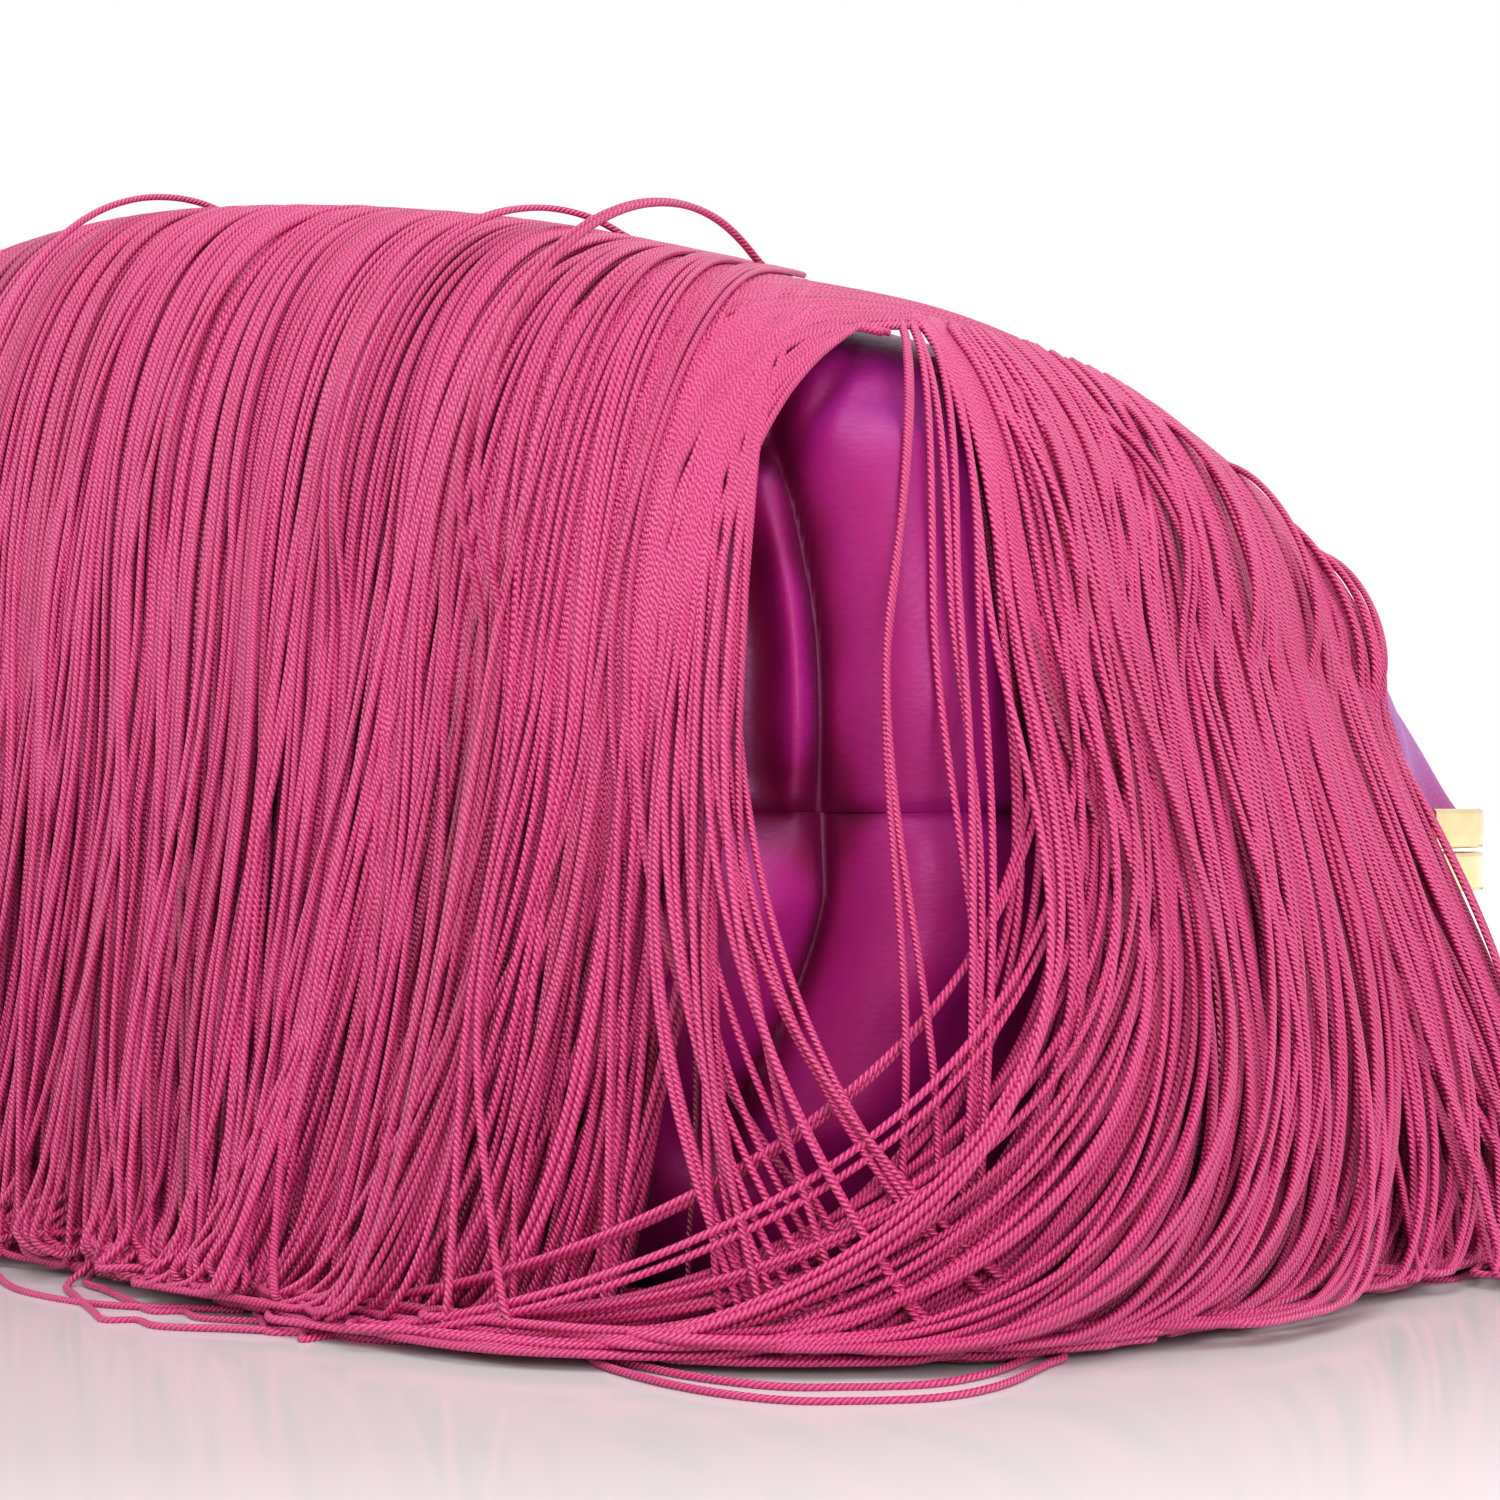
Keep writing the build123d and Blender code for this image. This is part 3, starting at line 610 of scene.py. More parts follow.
add_free("side_back_left", hx, hy, u1, 2.0 + 4.0 * rng.random(n), rng.uniform(-30, -4, n), 4.0, rng.uniform(12, 26, n), rng.uniform(-24, 0, n), 0.0, 1.0 + 3 * rng.random(n), 1.6, 1.6, fall_power=1.3, round_z=1.5)
# strands that stand off the top of the pouch in low arches, and a few loose loops beside the curtain
n = 9
u1 = np.array([-38, -62, -64, -96, -131, -150, -45, -80, -112.0])
hx = plan_point(u1, 0.0)[0] * 0.985 + np.array([17, 14, -3, 12, 8, -9, 5, -6, 9.0])
add_free("top_arches", np.minimum(hx, 106.0), np.full(n, -45.0), u1, 4.6, rng.normal(-3, 4, n), 2.0, 12.0, rng.normal(0, 18, n), -2.0, 2.0, 1.0, 2.2, loft=np.array([11.0, 6.0, 3.0, 3.0, 6.0, 2.5, 2.0, 2.0, 2.0]))
n = 26
u1 = np.concatenate([rng.uniform(20, SIDE_END - 2, 20), SIDE_END - 6 * rng.random(6)])
hx, hy = plan_point(u1 + rng.normal(6, 5, n), 16 + rng.normal(0, 2.5, n))
loft = np.concatenate([1.0 + 3.2 * rng.random(20) ** 2, 2.0 + 3.0 * rng.random(6)])
bulge = np.concatenate([3.0 + 3 * rng.random(20), np.array([15, 11, 8, 13, 6, 10.0])])
add_free("side_arches", hx, hy, u1, 4.5, np.concatenate([rng.normal(-30, 12, 20), rng.normal(4, 12, 6)]), bulge, 14 + 5 * rng.random(n), rng.normal(-14, 14, n), -1.0, 2.5, 1.6, 2.0, loft=loft, round_z=1.4)
# loose loops that have slid out over the table in front, their two legs meeting in an arc
for u_a, u_b, reach, long in ((-24.0, 20.0, 12.0, 15.0), (-112.0, -58.0, 9.0, 13.0), (-94.0, -42.0, 6.0, 13.0), (-64.0, -30.0, 6.0, 8.0), (98.0, 60.0, 9.0, 9.0)):
    for extra in range(2 if u_a in (-24.0, -94.0) else 1):
        from_bottom = u_a < 0
        hx, hy = plan_point(np.array([u_a, u_b]), 0.0)
        if from_bottom:
            hx, hy = np.minimum(hx, 112.0) * 0.985, np.full(2, -47.0)
        else:
            hx, hy = plan_point(np.array([u_a, u_b]), 14.0)
        shift = 3.0 * extra
        common = dict(off=np.array([4.5]), sweep=np.array([0.0]), bulge=np.array([2.0]), land=np.array([13.0 + shift]), pile=np.array([0.5]), wander=np.array([0.5]), power=np.array([2.0]), fall_power=np.array([1.7]), kick=np.array([0.0]), round_z=np.array([1.25]), sway=np.array([0.5]), seed=np.array([50.0]))
        half = (u_b - u_a) / 2
        pair = []
        for i, u_here in enumerate((u_a, u_b)):
            goal = (half if i == 0 else -half) * 0.98
            near = u_here + (4.0 if i == 0 else -4.0) * np.sign(half)
            head = 0 if from_bottom else i
            start = np.array([-20.0 if (from_bottom and u_here > -12) else near])
            common["sweep"] = np.array([near]) - start
            pair.append(leg_paths(hx[head : head + 1] if not from_bottom else np.array([plan_point(start, 0.0)[0][0] * 0.93]), hy[head : head + 1], start, tail_u=np.array([goal - 4.0 * np.sign(goal)]), tail_o=np.array([reach + shift]), **common))
        legs.append(dict(name="table_loops", layer=9, u=np.array([u_a]), a=resample(pair[0], np.array([LOOP + long]), POINTS), b=resample(pair[1], np.array([LOOP + long]), POINTS)))


def simulate(pts, off, steps):
    """Relaxes looped strands (N, K, 3), pinned at both ends, under gravity, over the pouch and on the table."""
    n, k, _ = pts.shape
    rest = np.linalg.norm(np.diff(pts, axis=1), axis=2)
    rest = np.clip(rest, rest.mean(axis=1, keepdims=True) * 0.9, rest.mean(axis=1, keepdims=True) * 1.1)
    home = pts.copy()
    floor = np.minimum(home[..., 2], np.maximum(CORD_D / 2, home[..., 2].min(axis=1, keepdims=True)))
    prev = pts.copy()
    grid = np.linspace(0, 1, k)
    hold = 0.03 * (1 - np.abs(grid * 2 - 1) ** 2 * 0.5)[None, :, None]
    for step in range(steps):
        cool = 1 - step / steps
        move = (pts - prev) * 0.82
        prev = pts.copy()
        pts = pts + move
        pts[..., 2] -= 0.16 * cool + 0.02
        pts = pts + (home - pts) * hold * np.array([1, 1, 0.35])
        mid = (pts[:, :-2] + pts[:, 2:]) / 2
        pts[:, 1:-1] += (mid - pts[:, 1:-1]) * 0.22
        pts[:, :2], pts[:, -2:] = home[:, :2], home[:, -2:]
        for sweep in range(3):
            for parity in (0, 1):
                a, b = pts[:, parity:-1:2], pts[:, parity + 1 :: 2]
                d = b - a
                size = np.linalg.norm(d, axis=2) + 1e-9
                fix = ((size - rest[:, parity::2]) / size * 0.5)[..., None] * d
                pts[:, parity:-1:2] += fix
                pts[:, parity + 1 :: 2] -= fix
            pts[:, :2], pts[:, -2:] = home[:, :2], home[:, -2:]
        if step % 2 == 0 or step > steps - 4:
            dist, nrm = body_distance(pts)
            deep = np.maximum(0, off - dist)
            push = np.minimum(deep, 6.0)[..., None] * nrm
            pts = pts + push
            prev = np.where((deep > 0)[..., None], pts, prev)
        below = pts[..., 2] < floor
        pts[..., 2] = np.where(below, floor, pts[..., 2])
        prev = np.where(below[..., None], pts, prev)
    return pts


def run_simulation():
    out = []
    for g in legs:
        chain = np.concatenate([g["a"], g["b"][:, ::-1]], axis=1)
        n = len(chain)
        off = np.minimum(0.6 + 0.8 * (g["layer"] if g["layer"] < 9 else 4), 5.0)
        if g["layer"] < 9:
            steps = 34
        elif "arches" in g["name"]:
            steps = 5
        else:
            steps = 60
        g["chain"] = simulate(chain, off, steps)
        out.append(g)
    return out


groups = run_simulation()


# ------------------------------------------------------------ cords as meshes
def catmull(chain, count):
    """Points at count even parameters along each chain (N, K, 3), on one smooth curve."""
    n, k, _ = chain.shape
    t = np.linspace(0, k - 1 - 1e-6, count)
    i = np.floor(t).astype(int)
    f = (t - i)[None, :, None]
    idx = lambda j: chain[:, np.clip(j, 0, k - 1)]
    p0, p1, p2, p3 = idx(i - 1), idx(i), idx(i + 1), idx(i + 2)
    return 0.5 * (2 * p1 + (p2 - p0) * f + (2 * p0 - 5 * p1 + 4 * p2 - p3) * f**2 + (3 * p1 - p0 - 3 * p2 + p3) * f**3)


def cord_mesh(name, chain, spacing, sides, seed=0, tone_and_painted_shade=(0.0, 1.0)):
    """One mesh of many cords; the plies that wind round them are in the material, which reads them from the UV map."""
    r = np.random.default_rng(seed + 77)
    n = len(chain)
    long = np.linalg.norm(np.diff(chain, axis=1), axis=2).sum(axis=1).mean()
    count = max(8, int(long / spacing))
    pts = catmull(chain, count)
    tan = np.gradient(pts, axis=1)
    tan /= np.linalg.norm(tan, axis=2)[..., None] + 1e-9
    # parallel transport of one side direction
    side = np.empty_like(pts)
    ref = np.cross(tan[:, 0], np.array([0.13, 0.27, 0.95]))
    ref /= np.linalg.norm(ref, axis=1)[:, None] + 1e-9
    for j in range(count):
        ref = ref - (ref * tan[:, j]).sum(1)[:, None] * tan[:, j]
        ref /= np.linalg.norm(ref, axis=1)[:, None] + 1e-9
        side[:, j] = ref
    up = np.cross(tan, side)
    s = np.linspace(0, long, count)
    ply = PLY * (1 + 0.10 * r.normal(0, 1, n))[:, None]
    phase = r.uniform(0, 2 * np.pi, n)[:, None]
    turn = 2 * np.pi * s[None] / ply + phase
    rad = CORD_D / 2 * (1 + 0.05 * r.normal(0, 1, n))[:, None]
    k = np.arange(sides) * 2 * np.pi / sides
    ang = np.broadcast_to(k[None, None, :], (n, count, sides))
    lobe = 0.97 if sides > 5 else 1.0
    rr = rad[..., None] * lobe
    v = pts[:, :, None, :] + (rr * np.cos(ang))[..., None] * side[:, :, None, :] + (rr * np.sin(ang))[..., None] * up[:, :, None, :]
    ids = np.arange(n * count * sides).reshape(n, count, sides)
    nxt = np.roll(ids, -1, axis=2)
    quads = np.stack([ids[:, :-1], nxt[:, :-1], nxt[:, 1:], ids[:, 1:]], -1).reshape(-1, 4)
    uu = (k / (2 * np.pi))[None, None, :] + (turn / (2 * np.pi))[..., None]
    uu = np.broadcast_to(uu, (n, count, sides))
    vv = np.broadcast_to(s[None, :, None], (n, count, sides)) + (np.arange(n) * 37.7)[:, None, None]
    un = np.roll(uu, -1, axis=2).copy()
    un[..., -1] = uu[..., 0] + 1.0
    uvq = np.stack(
        [np.stack([uu[:, :-1], vv[:, :-1]], -1), np.stack([un[:, :-1], vv[:, :-1]], -1), np.stack([un[:, 1:], vv[:, 1:]], -1), np.stack([uu[:, 1:], vv[:, 1:]], -1)],
        -2,
    ).reshape(-1, 2)
    ob = mesh_object(name, v.reshape(-1, 3), quads)
    layer = ob.data.uv_layers.new(name="cord")
    layer.data.foreach_set("uv", uvq.astype(np.float32).ravel())
    # painted shade: each cord gets a value at random within its tone range; the low ranges of the under and inner
    # strands darken them
    tint_and_depth_shade = np.repeat(r.uniform(*tone_and_painted_shade, n), count * sides).astype(np.float32)
    at = ob.data.attributes.new("tint_and_depth_shade", "FLOAT", "POINT")
    at.data.foreach_set("value", tint_and_depth_shade)
    return ob


# ---------------------------------------------------------------- materials
def new_material(name):
    m = bpy.data.materials.new(name)
    m.use_nodes = True
    nt = m.node_tree
    nt.nodes.clear()
    out = nt.nodes.new("ShaderNodeOutputMaterial")
    bs = nt.nodes.new("ShaderNodeBsdfPrincipled")
    nt.links.new(bs.outputs[0], out.inputs[0])
    return m, nt, bs


def node(nt, kind, **values):
    nd = nt.nodes.new(kind)
    for k, v in values.items():
        if k.startswith("i_"):
            key = k[2:]
            key = int(key) if key.isdigit() else key.replace("_", " ")
            nd.inputs[key].default_value = v
        else:
            setattr(nd, k, v)
    return nd


def math_node(nt, op, a, b=None, clamp=False):
    nd = node(nt, "ShaderNodeMath", operation=op, use_clamp=clamp)
    for i, v in enumerate((a, b)):
        if v is None:
            continue
        if isinstance(v, (int, float)):
            nd.inputs[i].default_value = v
        else:
            nt.links.new(v, nd.inputs[i])
    return nd.outputs[0]


def ramp(nt, fac, stops):
    nd = nt.nodes.new("ShaderNodeValToRGB")
    els = nd.color_ramp.elements
    while len(els) < len(stops):
        els.new(0.5)
    for e, (p, c) in zip(els, stops):
        e.position = p
        e.color = (*c, 1) if len(c) == 3 else c
    nt.links.new(fac, nd.inputs[0])
    return nd.outputs[0]


def cord_material(name):
    """Lustrous three-ply viscose cord: pale ridges and crimson grooves painted as highlight and shade, fine filaments
    along each ply.
    """
    m, nt, bs = new_material(name)
    uv = node(nt, "ShaderNodeUVMap", uv_map="cord")
    sep = nt.nodes.new("ShaderNodeSeparateXYZ")
    nt.links.new(uv.outputs[0], sep.inputs[0])
    ridge = math_node(nt, "COSINE", math_node(nt, "MULTIPLY", sep.outputs[0], 6 * math.pi))
    ridge = math_node(nt, "MULTIPLY_ADD", ridge, 0.5)
    ridge.node.inputs[2].default_value = 0.5
    soft = math_node(nt, "POWER", ridge, 0.6)
    fil = node(nt, "ShaderNodeCombineXYZ")
    nt.links.new(math_node(nt, "MULTIPLY", sep.outputs[0], 26.0), fil.inputs[0])
    nt.links.new(math_node(nt, "MULTIPLY", sep.outputs[1], 0.9), fil.inputs[1])
    noise = node(nt, "ShaderNodeTexNoise", i_Scale=1.0, i_Detail=2.0)
    nt.links.new(fil.outputs[0], noise.inputs["Vector"])
    tint_and_depth_shade = node(nt, "ShaderNodeAttribute", attribute_name="tint_and_depth_shade")
    # painted highlight and shade: the base colour is pale on the crowns of the plies and deep crimson in the grooves
    # between them
    groove = ramp(nt, soft, [(0.0, (0.26, 0.001, 0.024)), (0.42, (0.64, 0.011, 0.118)), (1.0, (0.84, 0.056, 0.300))])
    shade = node(nt, "ShaderNodeMix", data_type="RGBA", blend_type="MULTIPLY")
    shade.inputs[0].default_value = 1.0
    nt.links.new(groove, shade.inputs[6])
    # painted shade: low values darken the cord towards deep crimson, for the strands that lie under the others; within
    # a layer the value also varies at random
    nt.links.new(ramp(nt, tint_and_depth_shade.outputs["Fac"], [(0.0, (0.36, 0.10, 0.20)), (0.35, (0.84, 0.66, 0.76)), (0.6, (0.97, 0.95, 0.96)), (1.0, (1.0, 1.0, 1.0))]), shade.inputs[7])
    fine = node(nt, "ShaderNodeMix", data_type="RGBA", blend_type="MULTIPLY")
    fine.inputs[0].default_value = 0.30
    nt.links.new(shade.outputs[2], fine.inputs[6])
    nt.links.new(ramp(nt, noise.outputs["Fac"], [(0.3, (0.72, 0.68, 0.72)), (0.7, (1.0, 1.0, 1.0))]), fine.inputs[7])
    nt.links.new(fine.outputs[2], bs.inputs["Base Color"])
    bump = node(nt, "ShaderNodeBump", i_Strength=0.85, i_Distance=0.00022)
    both = math_node(nt, "MULTIPLY_ADD", noise.outputs["Fac"], 0.15)
    nt.links.new(ridge, both.node.inputs[2])
    nt.links.new(both, bump.inputs["Height"])
    nt.links.new(bump.outputs[0], bs.inputs["Normal"])
    bs.inputs["Roughness"].default_value = 0.33
    bs.inputs["Specular IOR Level"].default_value = 0.95
    bs.inputs["Specular Tint"].default_value = (1.0, 0.80, 0.96, 1)
    bs.inputs["Sheen Weight"].default_value = 0.12
    bs.inputs["Sheen Roughness"].default_value = 0.32
    bs.inputs["Sheen Tint"].default_value = (1.0, 0.62, 0.90, 1)
    return m


def satin_material(name, deep, lit):
    """Duchesse satin: fine filling ridges, a soft directional sheen, a violet sheen painted into the base colour where
    it turns away, and painted shade in its creases.
    """
    m, nt, bs = new_material(name)
    co = node(nt, "ShaderNodeTexCoord")
    mp = node(nt, "ShaderNodeMapping")
    mp.inputs["Scale"].default_value = (1.0, 1.0, 1.0)
    mp.inputs["Rotation"].default_value = (0.0, 0.12, 0.0)
    nt.links.new(co.outputs["Object"], mp.inputs[0])
    broad = node(nt, "ShaderNodeTexNoise", i_Scale=34.0, i_Detail=2.0)
    nt.links.new(mp.outputs[0], broad.inputs["Vector"])
    # stretched flecks: the floats of the weave, about 0.35 mm by 1.2 mm
    st = node(nt, "ShaderNodeMapping")
    st.inputs["Scale"].default_value = (0.34, 0.34, 1.0)
    nt.links.new(mp.outputs[0], st.inputs[0])
    fleck = node(nt, "ShaderNodeTexNoise", i_Scale=2600.0, i_Detail=1.5, i_Roughness=0.6)
    nt.links.new(st.outputs[0], fleck.inputs["Vector"])
    # painted sheen: the base colour runs from the crimson of the satin's shade, where it faces the view, to the violet
    # of its highlights, where it turns away
    lw = node(nt, "ShaderNodeLayerWeight", i_Blend=0.42)
    tone_and_painted_shade = ramp(nt, lw.outputs["Facing"], [(0.0, deep), (0.55, tuple(0.5 * (a + b) for a, b in zip(deep, lit))), (1.0, lit)])
    mul = node(nt, "ShaderNodeMix", data_type="RGBA", blend_type="MULTIPLY")
    mul.inputs[0].default_value = 0.30
    nt.links.new(tone_and_painted_shade, mul.inputs[6])
    nt.links.new(ramp(nt, fleck.outputs["Fac"], [(0.32, (0.55, 0.42, 0.55)), (0.62, (1.0, 1.0, 1.0))]), mul.inputs[7])
    mul2 = node(nt, "ShaderNodeMix", data_type="RGBA", blend_type="MULTIPLY")
    mul2.inputs[0].default_value = 0.25
    nt.links.new(mul.outputs[2], mul2.inputs[6])
    nt.links.new(ramp(nt, broad.outputs["Fac"], [(0.35, (0.80, 0.75, 0.82)), (0.65, (1.0, 1.0, 1.0))]), mul2.inputs[7])
    # painted shade: the base colour is darkened towards deep crimson in the satin's creases, by the crease mask
    fold = node(nt, "ShaderNodeAttribute", attribute_name="fold")
    mul3 = node(nt, "ShaderNodeMix", data_type="RGBA", blend_type="MULTIPLY")
    mul3.inputs[0].default_value = 1.0
    nt.links.new(mul2.outputs[2], mul3.inputs[6])
    nt.links.new(ramp(nt, fold.outputs["Fac"], [(0.0, (1.0, 1.0, 1.0)), (0.5, (0.62, 0.40, 0.42)), (1.0, (0.34, 0.12, 0.16))]), mul3.inputs[7])
    nt.links.new(mul3.outputs[2], bs.inputs["Base Color"])
    bump = node(nt, "ShaderNodeBump", i_Strength=0.45, i_Distance=0.00010)
    nt.links.new(fleck.outputs["Fac"], bump.inputs["Height"])
    nt.links.new(bump.outputs[0], bs.inputs["Normal"])
    rough = ramp(nt, fleck.outputs["Fac"], [(0.3, (0.46, 0.46, 0.46)), (0.7, (0.34, 0.34, 0.34))])
    nt.links.new(rough, bs.inputs["Roughness"])
    bs.inputs["Specular IOR Level"].default_value = 0.50
    bs.inputs["Specular Tint"].default_value = (0.85, 0.45, 1.0, 1)
    bs.inputs["Sheen Weight"].default_value = 0.16
    bs.inputs["Sheen Roughness"].default_value = 0.30
    bs.inputs["Sheen Tint"].default_value = (0.62, 0.30, 1.0, 1)
    return m


def woven_material(name, colour, scale, rough, spec=0.3):
    m, nt, bs = new_material(name)
    co = node(nt, "ShaderNodeTexCoord")
    w1 = node(nt, "ShaderNodeTexWave", wave_type="BANDS", bands_direction="X", i_Scale=scale, i_Distortion=0.6, i_Detail=1.0)
    w2 = node(nt, "ShaderNodeTexWave", wave_type="BANDS", bands_direction="Y", i_Scale=scale, i_Distortion=0.6, i_Detail=1.0)
    nt.links.new(co.outputs["Object"], w1.inputs["Vector"])
    nt.links.new(co.outputs["Object"], w2.inputs["Vector"])
    both = math_node(nt, "MULTIPLY", w1.outputs["Fac"], w2.outputs["Fac"])
    noise = node(nt, "ShaderNodeTexNoise", i_Scale=60.0, i_Detail=3.0)
    nt.links.new(co.outputs["Object"], noise.inputs["Vector"])
    col = ramp(nt, noise.outputs["Fac"], [(0.3, tuple(c * 0.86 for c in colour)), (0.7, colour)])
    mul = node(nt, "ShaderNodeMix", data_type="RGBA", blend_type="MULTIPLY")
    mul.inputs[0].default_value = 0.4
    nt.links.new(col, mul.inputs[6])
    nt.links.new(ramp(nt, both, [(0.0, (0.72, 0.72, 0.72)), (0.6, (1.0, 1.0, 1.0))]), mul.inputs[7])
    nt.links.new(mul.outputs[2], bs.inputs["Base Color"])
    bump = node(nt, "ShaderNodeBump", i_Strength=0.4, i_Distance=0.0001)
    nt.links.new(both, bump.inputs["Height"])
    nt.links.new(bump.outputs[0], bs.inputs["Normal"])
    bs.inputs["Roughness"].default_value = rough
    bs.inputs["Specular IOR Level"].default_value = spec
    return m


def gold_material(name):
    m, nt, bs = new_material(name)
    co = node(nt, "ShaderNodeTexCoord")
    noise = node(nt, "ShaderNodeTexNoise", i_Scale=180.0, i_Detail=4.0)
    nt.links.new(co.outputs["Object"], noise.inputs["Vector"])
    st = node(nt, "ShaderNodeMapping")
    st.inputs["Scale"].default_value = (0.05, 1.0, 1.0)
    nt.links.new(co.outputs["Object"], st.inputs[0])
    brush = node(nt, "ShaderNodeTexNoise", i_Scale=2400.0, i_Detail=1.0)
    nt.links.new(st.outputs[0], brush.inputs["Vector"])
    nt.links.new(ramp(nt, noise.outputs["Fac"], [(0.3, (0.82, 0.60, 0.29)), (0.7, (0.92, 0.74, 0.42))]), bs.inputs["Base Color"])
    nt.links.new(ramp(nt, brush.outputs["Fac"], [(0.3, (0.14, 0.14, 0.14)), (0.7, (0.24, 0.24, 0.24))]), bs.inputs["Roughness"])
    bump = node(nt, "ShaderNodeBump", i_Strength=0.06, i_Distance=0.00005)
    nt.links.new(brush.outputs["Fac"], bump.inputs["Height"])
    nt.links.new(bump.outputs[0], bs.inputs["Normal"])
    bs.inputs["Metallic"].default_value = 1.0
    return m


mat_cord = cord_material("twisted cord")
# the satin's shade colour and its highlight colour, which its material mixes by view angle into a painted sheen
mat_satin = satin_material("magenta satin", (0.34, 0.005, 0.115), (0.33, 0.014, 0.30))
mat_lining = woven_material("lining cloth", (0.30, 0.012, 0.16), 900.0, 0.5, 0.4)
mat_tape = woven_material("header tape", (0.62, 0.03, 0.20), 700.0, 0.7)
mat_wadding = woven_material("polyester wadding", (0.86, 0.84, 0.82), 260.0, 0.95, 0.1)
mat_paper = woven_material("paper cord", (0.55, 0.40, 0.24), 500.0, 0.85, 0.2)
mat_gold = gold_material("light gold")


def put(ob, mat):
    ob.data.materials.clear()
    ob.data.materials.append(mat)


def pouch_piece(name, upper, inset, step, mat, relief, replaced, thick=None, back=BACK_Y):
    v, q = half_shell(upper, inset, step, relief, back)
    # painted shade: the satin's crease mask, which its material darkens
    fold = half_shell.fold
    if thick:  # a second surface further in, closed round its rim
        v2, _ = half_shell(upper, inset + thick, step, False, back)
        count = len(v)
        edges = np.vstack([q[:, [0, 1]], q[:, [1, 2]], q[:, [2, 3]], q[:, [3, 0]]])
        key = np.sort(edges, axis=1)
        _, index, inverse, times = np.unique(key, axis=0, return_index=True, return_inverse=True, return_counts=True)
        rim = edges[index[times == 1]]
        walls = np.stack([rim[:, 1], rim[:, 0], rim[:, 0] + count, rim[:, 1] + count], -1)
        q = np.vstack([q, q[:, ::-1] + count, walls])
        v = np.vstack([v, v2])
    ob = mesh_object(name, v, q)
    # painted shade: the crease mask goes onto the mesh, where the satin material darkens it towards crimson
    if relief:
        at = ob.data.attributes.new("fold", "FLOAT", "POINT")
        at.data.foreach_set("value", fold.astype(np.float32))
    put(ob, mat)
    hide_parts(*replaced)
    if upper:
        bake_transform(ob)
    else:
        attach(ob, "bag")
    area = np.linalg.norm(np.cross(v[q[:, 2]] - v[q[:, 0]], v[q[:, 3]] - v[q[:, 1]]), axis=1).sum() / 2 * 1e-6
    return ob, area


satin_front, area_front = pouch_piece("satin_front_panel", True, 0.0, 1.7, mat_satin, True, ["front_panel", "front_mouth_panel"])
satin_rear, area_rear = pouch_piece("satin_rear_panel", False, 0.0, 1.9, mat_satin, True, ["rear_panel", "rear_mouth_panel"])
pad_front, _ = pouch_piece("front_wadding_pad", True, 7.4, 4.5, mat_wadding, False, ["front_wadding"], thick=2.2, back=98)
pad_rear, _ = pouch_piece("rear_wadding_pad", False, 7.4, 4.5, mat_wadding, False, ["rear_wadding"], thick=2.2, back=98)
lin_front, area_lf = pouch_piece("front_lining_cloth", True, 10.4, 4.0, mat_lining, False, ["front_lining"], back=103)
lin_rear, area_lr = pouch_piece("rear_lining_cloth", False, 10.4, 4.0, mat_lining, False, ["rear_lining"], back=103)

for name, mat in (
    ("frame_front", mat_gold),
    ("frame_rear", mat_gold),
    ("hinge_rivet_right", mat_gold),
    ("hinge_rivet_left", mat_gold),
    ("hinge_washers", mat_gold),
    ("clasp_ball_front", mat_gold),
    ("clasp_ball_rear", mat_gold),
    ("front_frame_cord", mat_paper),
    ("rear_frame_cord", mat_paper),
    ("slip_pocket", mat_lining),
):
    put(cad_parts[name], mat)


# ------------------------------------------------------------ header tapes
def tape_piece(name, path_x, path_y, width, replaced):
    """A woven tape that lies on the front panel along a plan path."""
    px, py = np.asarray(path_x), np.asarray(path_y)
    tx, ty = np.gradient(px), np.gradient(py)
    size = np.hypot(tx, ty)
    nx, ny = -ty / size, tx / size
    across = np.linspace(-0.5, 0.5, 7) * width
    x = px[:, None] + nx[:, None] * across
    y = py[:, None] + ny[:, None] * across
    z = surface_z(x, y)
    p = np.stack([x, y, z], -1)
    _, nrm = body_distance(p)
    rise = cloth_relief(x, y, z, True)
    top = p + nrm * (rise + 0.75)[..., None]
    low = p + nrm * (rise + 0.15)[..., None]
    n, k = x.shape
    v = np.concatenate([top.reshape(-1, 3), low.reshape(-1, 3)])
    ids = np.arange(n * k).reshape(n, k)
    q = np.stack([ids[:-1, :-1], ids[1:, :-1], ids[1:, 1:], ids[:-1, 1:]], -1).reshape(-1, 4)
    rim = np.concatenate([ids[0, :], ids[1:, -1], ids[-1, ::-1][1:], ids[::-1, 0][1:]])
    walls = np.stack([rim[:-1], rim[1:], rim[1:] + n * k, rim[:-1] + n * k], -1)
    q = np.vstack([q, q[:, ::-1] + n * k, walls])
    ob = mesh_object(name, v, q)
    put(ob, mat_tape)
    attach(ob, "bag")
    if replaced:
        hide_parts(replaced)
    return ob


for row in range(3):
    xs = np.linspace(-113, 113, 140)
    tape_piece(f"header_bottom_{row + 1}", xs, np.full_like(xs, -52.4 + 5.0 * row), 3.6, "header_tape_bottom" if row == 0 else None)
    for s, nm in ((1, "right"), (-1, "left")):
        us = np.linspace(25, SIDE_END + 2, 90)
        hx, hy = plan_point(us, 11.5 + 3.6 * row)
        tape_piece(f"header_{nm}_{row + 1}", hx * s, hy, 2.9, f"header_tape_{nm}" if row == 0 else None)

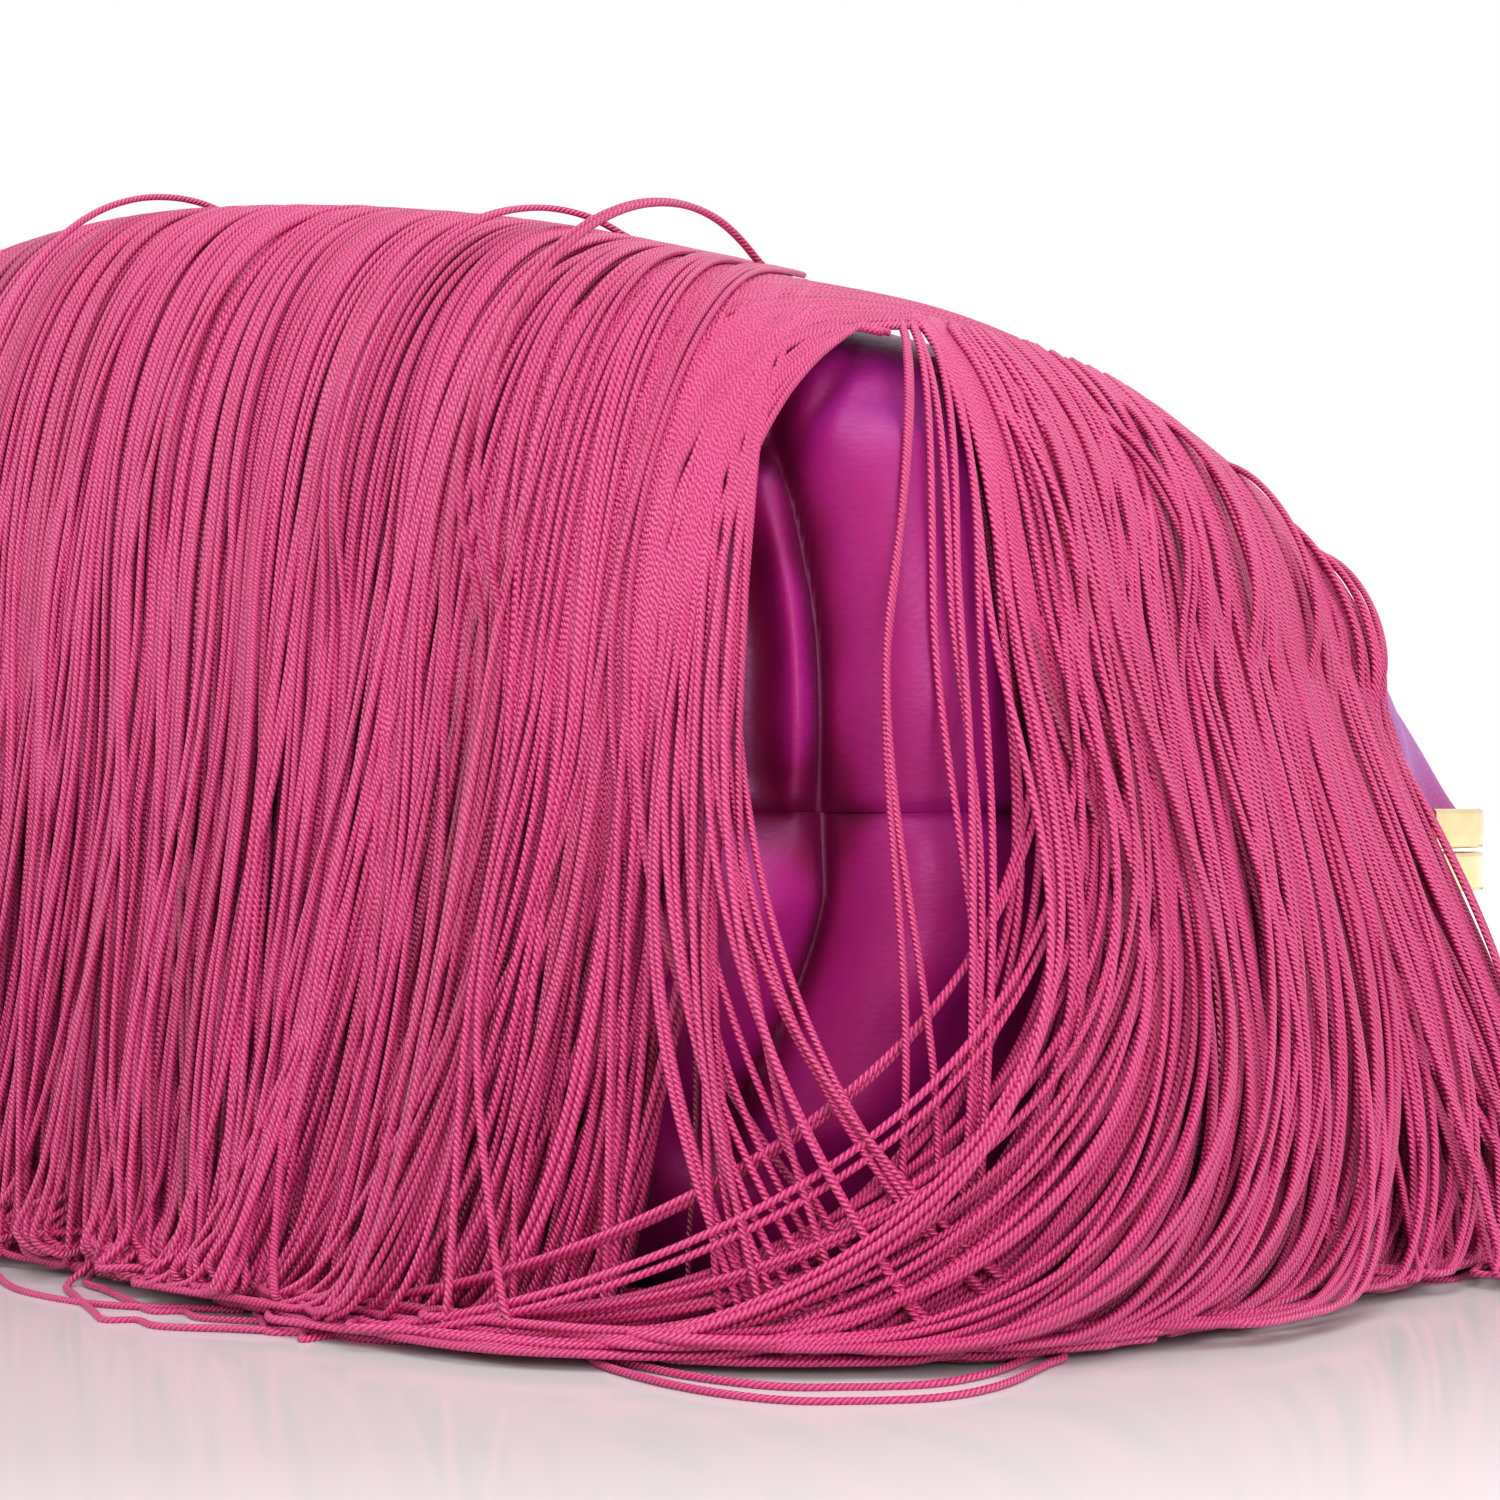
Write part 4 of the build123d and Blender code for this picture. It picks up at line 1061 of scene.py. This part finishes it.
# ------------------------------------------------------------ pieces: fringe
hero, medium, coarse = [], [], []
for g in groups:
    ch, lay, u = g["chain"], g["layer"], g["u"]
    seen = (u > -142) & (u < 150) if g["name"] in ("bottom", "right") else np.zeros(len(u), bool)
    if lay == 9:
        (hero if g["name"] != "corner_far" else medium).append(ch)
        continue
    if lay >= 4:
        hero.append(ch[seen])
        medium.append(ch[~seen])
    elif lay >= 2:
        medium.append(ch[seen])
        coarse.append(ch[~seen])
    else:
        coarse.append(ch)


def cord_pieces(stem, chains, spacing, sides, mat, per_piece, tone_and_painted_shade):
    allc = np.concatenate([c for c in chains if len(c)])
    # neighbours go in one piece
    order = np.argsort(allc[:, 0, 0] + 0.3 * allc[:, 0, 1], kind="stable")
    allc = allc[order]
    tri = 2 * sides * int(2 * LOOP / spacing)
    per = max(1, per_piece // tri)
    for i in range(0, len(allc), per):
        ob = cord_mesh(f"{stem}_{i // per + 1:02d}", allc[i : i + per], spacing, sides, seed=i, tone_and_painted_shade=tone_and_painted_shade)
        put(ob, mat)
        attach(ob, "bag")
    return len(allc), len(allc) * tri


done = {}
# painted shade: the lower tone ranges of the under and inner strands darken them below the strands in front
done["hero"] = cord_pieces("fringe_front_strands", hero, 0.8, 7, mat_cord, 190000, (0.35, 1.0))
done["medium"] = cord_pieces("fringe_under_strands", medium, 1.35, 5, mat_cord, 190000, (0.08, 0.5))
done["coarse"] = cord_pieces("fringe_inner_strands", coarse, 4.5, 4, mat_cord, 190000, (0.0, 0.12))
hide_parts("fringe_bottom", "fringe_right", "fringe_left")
print("cords", done)

# ------------------------------------------------------------ set and camera
floor_me = bpy.data.meshes.new("studio_floor")
floor_me.from_pydata([(-6, -6, 0), (6, -6, 0), (6, 6, 0), (-6, 6, 0)], [], [(0, 1, 2, 3)])
floor = bpy.data.objects.new("studio_floor", floor_me)
bpy.context.scene.collection.objects.link(floor)
fm, fnt, fbs = new_material("glossy white table")
fbs.inputs["Base Color"].default_value = (0.63, 0.625, 0.625, 1)
fbs.inputs["Roughness"].default_value = 0.13
fbs.inputs["Specular IOR Level"].default_value = 0.5
f_co = fnt.nodes.new("ShaderNodeNewGeometry")
f_len = node(fnt, "ShaderNodeVectorMath", operation="LENGTH")
fnt.links.new(f_co.outputs["Position"], f_len.inputs[0])
# the table glows a little away from the bag, so that it runs into the white surround
f_glow = ramp(fnt, f_len.outputs["Value"], [(0.0, (0, 0, 0)), (0.195, (0, 0, 0)), (0.235, (0.13, 0.13, 0.13)), (0.6, (0.6, 0.6, 0.6))])
fnt.links.new(f_glow, fbs.inputs["Emission Color"])
fbs.inputs["Emission Strength"].default_value = 1.0
put(floor, fm)

world = bpy.data.worlds.new("studio")
bpy.context.scene.world = world
world.use_nodes = True
wbg = world.node_tree.nodes["Background"]
wbg.inputs[0].default_value = (1.0, 1.0, 1.0, 1)
wbg.inputs[1].default_value = 1.0


def softbox(name, place, target, size, power, colour=(1, 1, 1)):
    li = bpy.data.lights.new(name, "AREA")
    li.shape = "RECTANGLE"
    li.size, li.size_y = size
    li.energy = power
    li.color = colour
    ob = bpy.data.objects.new(name, li)
    ob.location = place
    d = Vector(target) - Vector(place)
    ob.rotation_euler = d.to_track_quat("-Z", "Y").to_euler()
    bpy.context.scene.collection.objects.link(ob)
    return ob


softbox("softbox_top", (0.25, -0.2, 0.95), (0.08, -0.05, 0.05), (0.9, 0.7), 4.5)
softbox("softbox_right", (1.0, -0.55, 0.45), (0.12, -0.05, 0.06), (0.6, 0.6), 4.2)
softbox("softbox_left", (-0.75, -0.9, 0.5), (0.0, -0.08, 0.06), (0.7, 0.6), 1.6)

AZ = math.radians(38.0)
cam_data = bpy.data.cameras.new("camera")
cam_data.sensor_width = 36.0
cam_data.lens = 2632 / 1500 * 36.0
cam_data.clip_start = 0.01
cam_data.clip_end = 50.0
cam = bpy.data.objects.new("camera", cam_data)
cam.location = (0.3036, -0.3050, 0.056)
pitch = math.radians(1.35)
cam.rotation_euler = (math.pi / 2 + pitch, 0, AZ)
bpy.context.scene.collection.objects.link(cam)
bpy.context.scene.camera = cam
bpy.context.scene.view_settings.view_transform = "Standard"

bpy.context.view_layer.update()
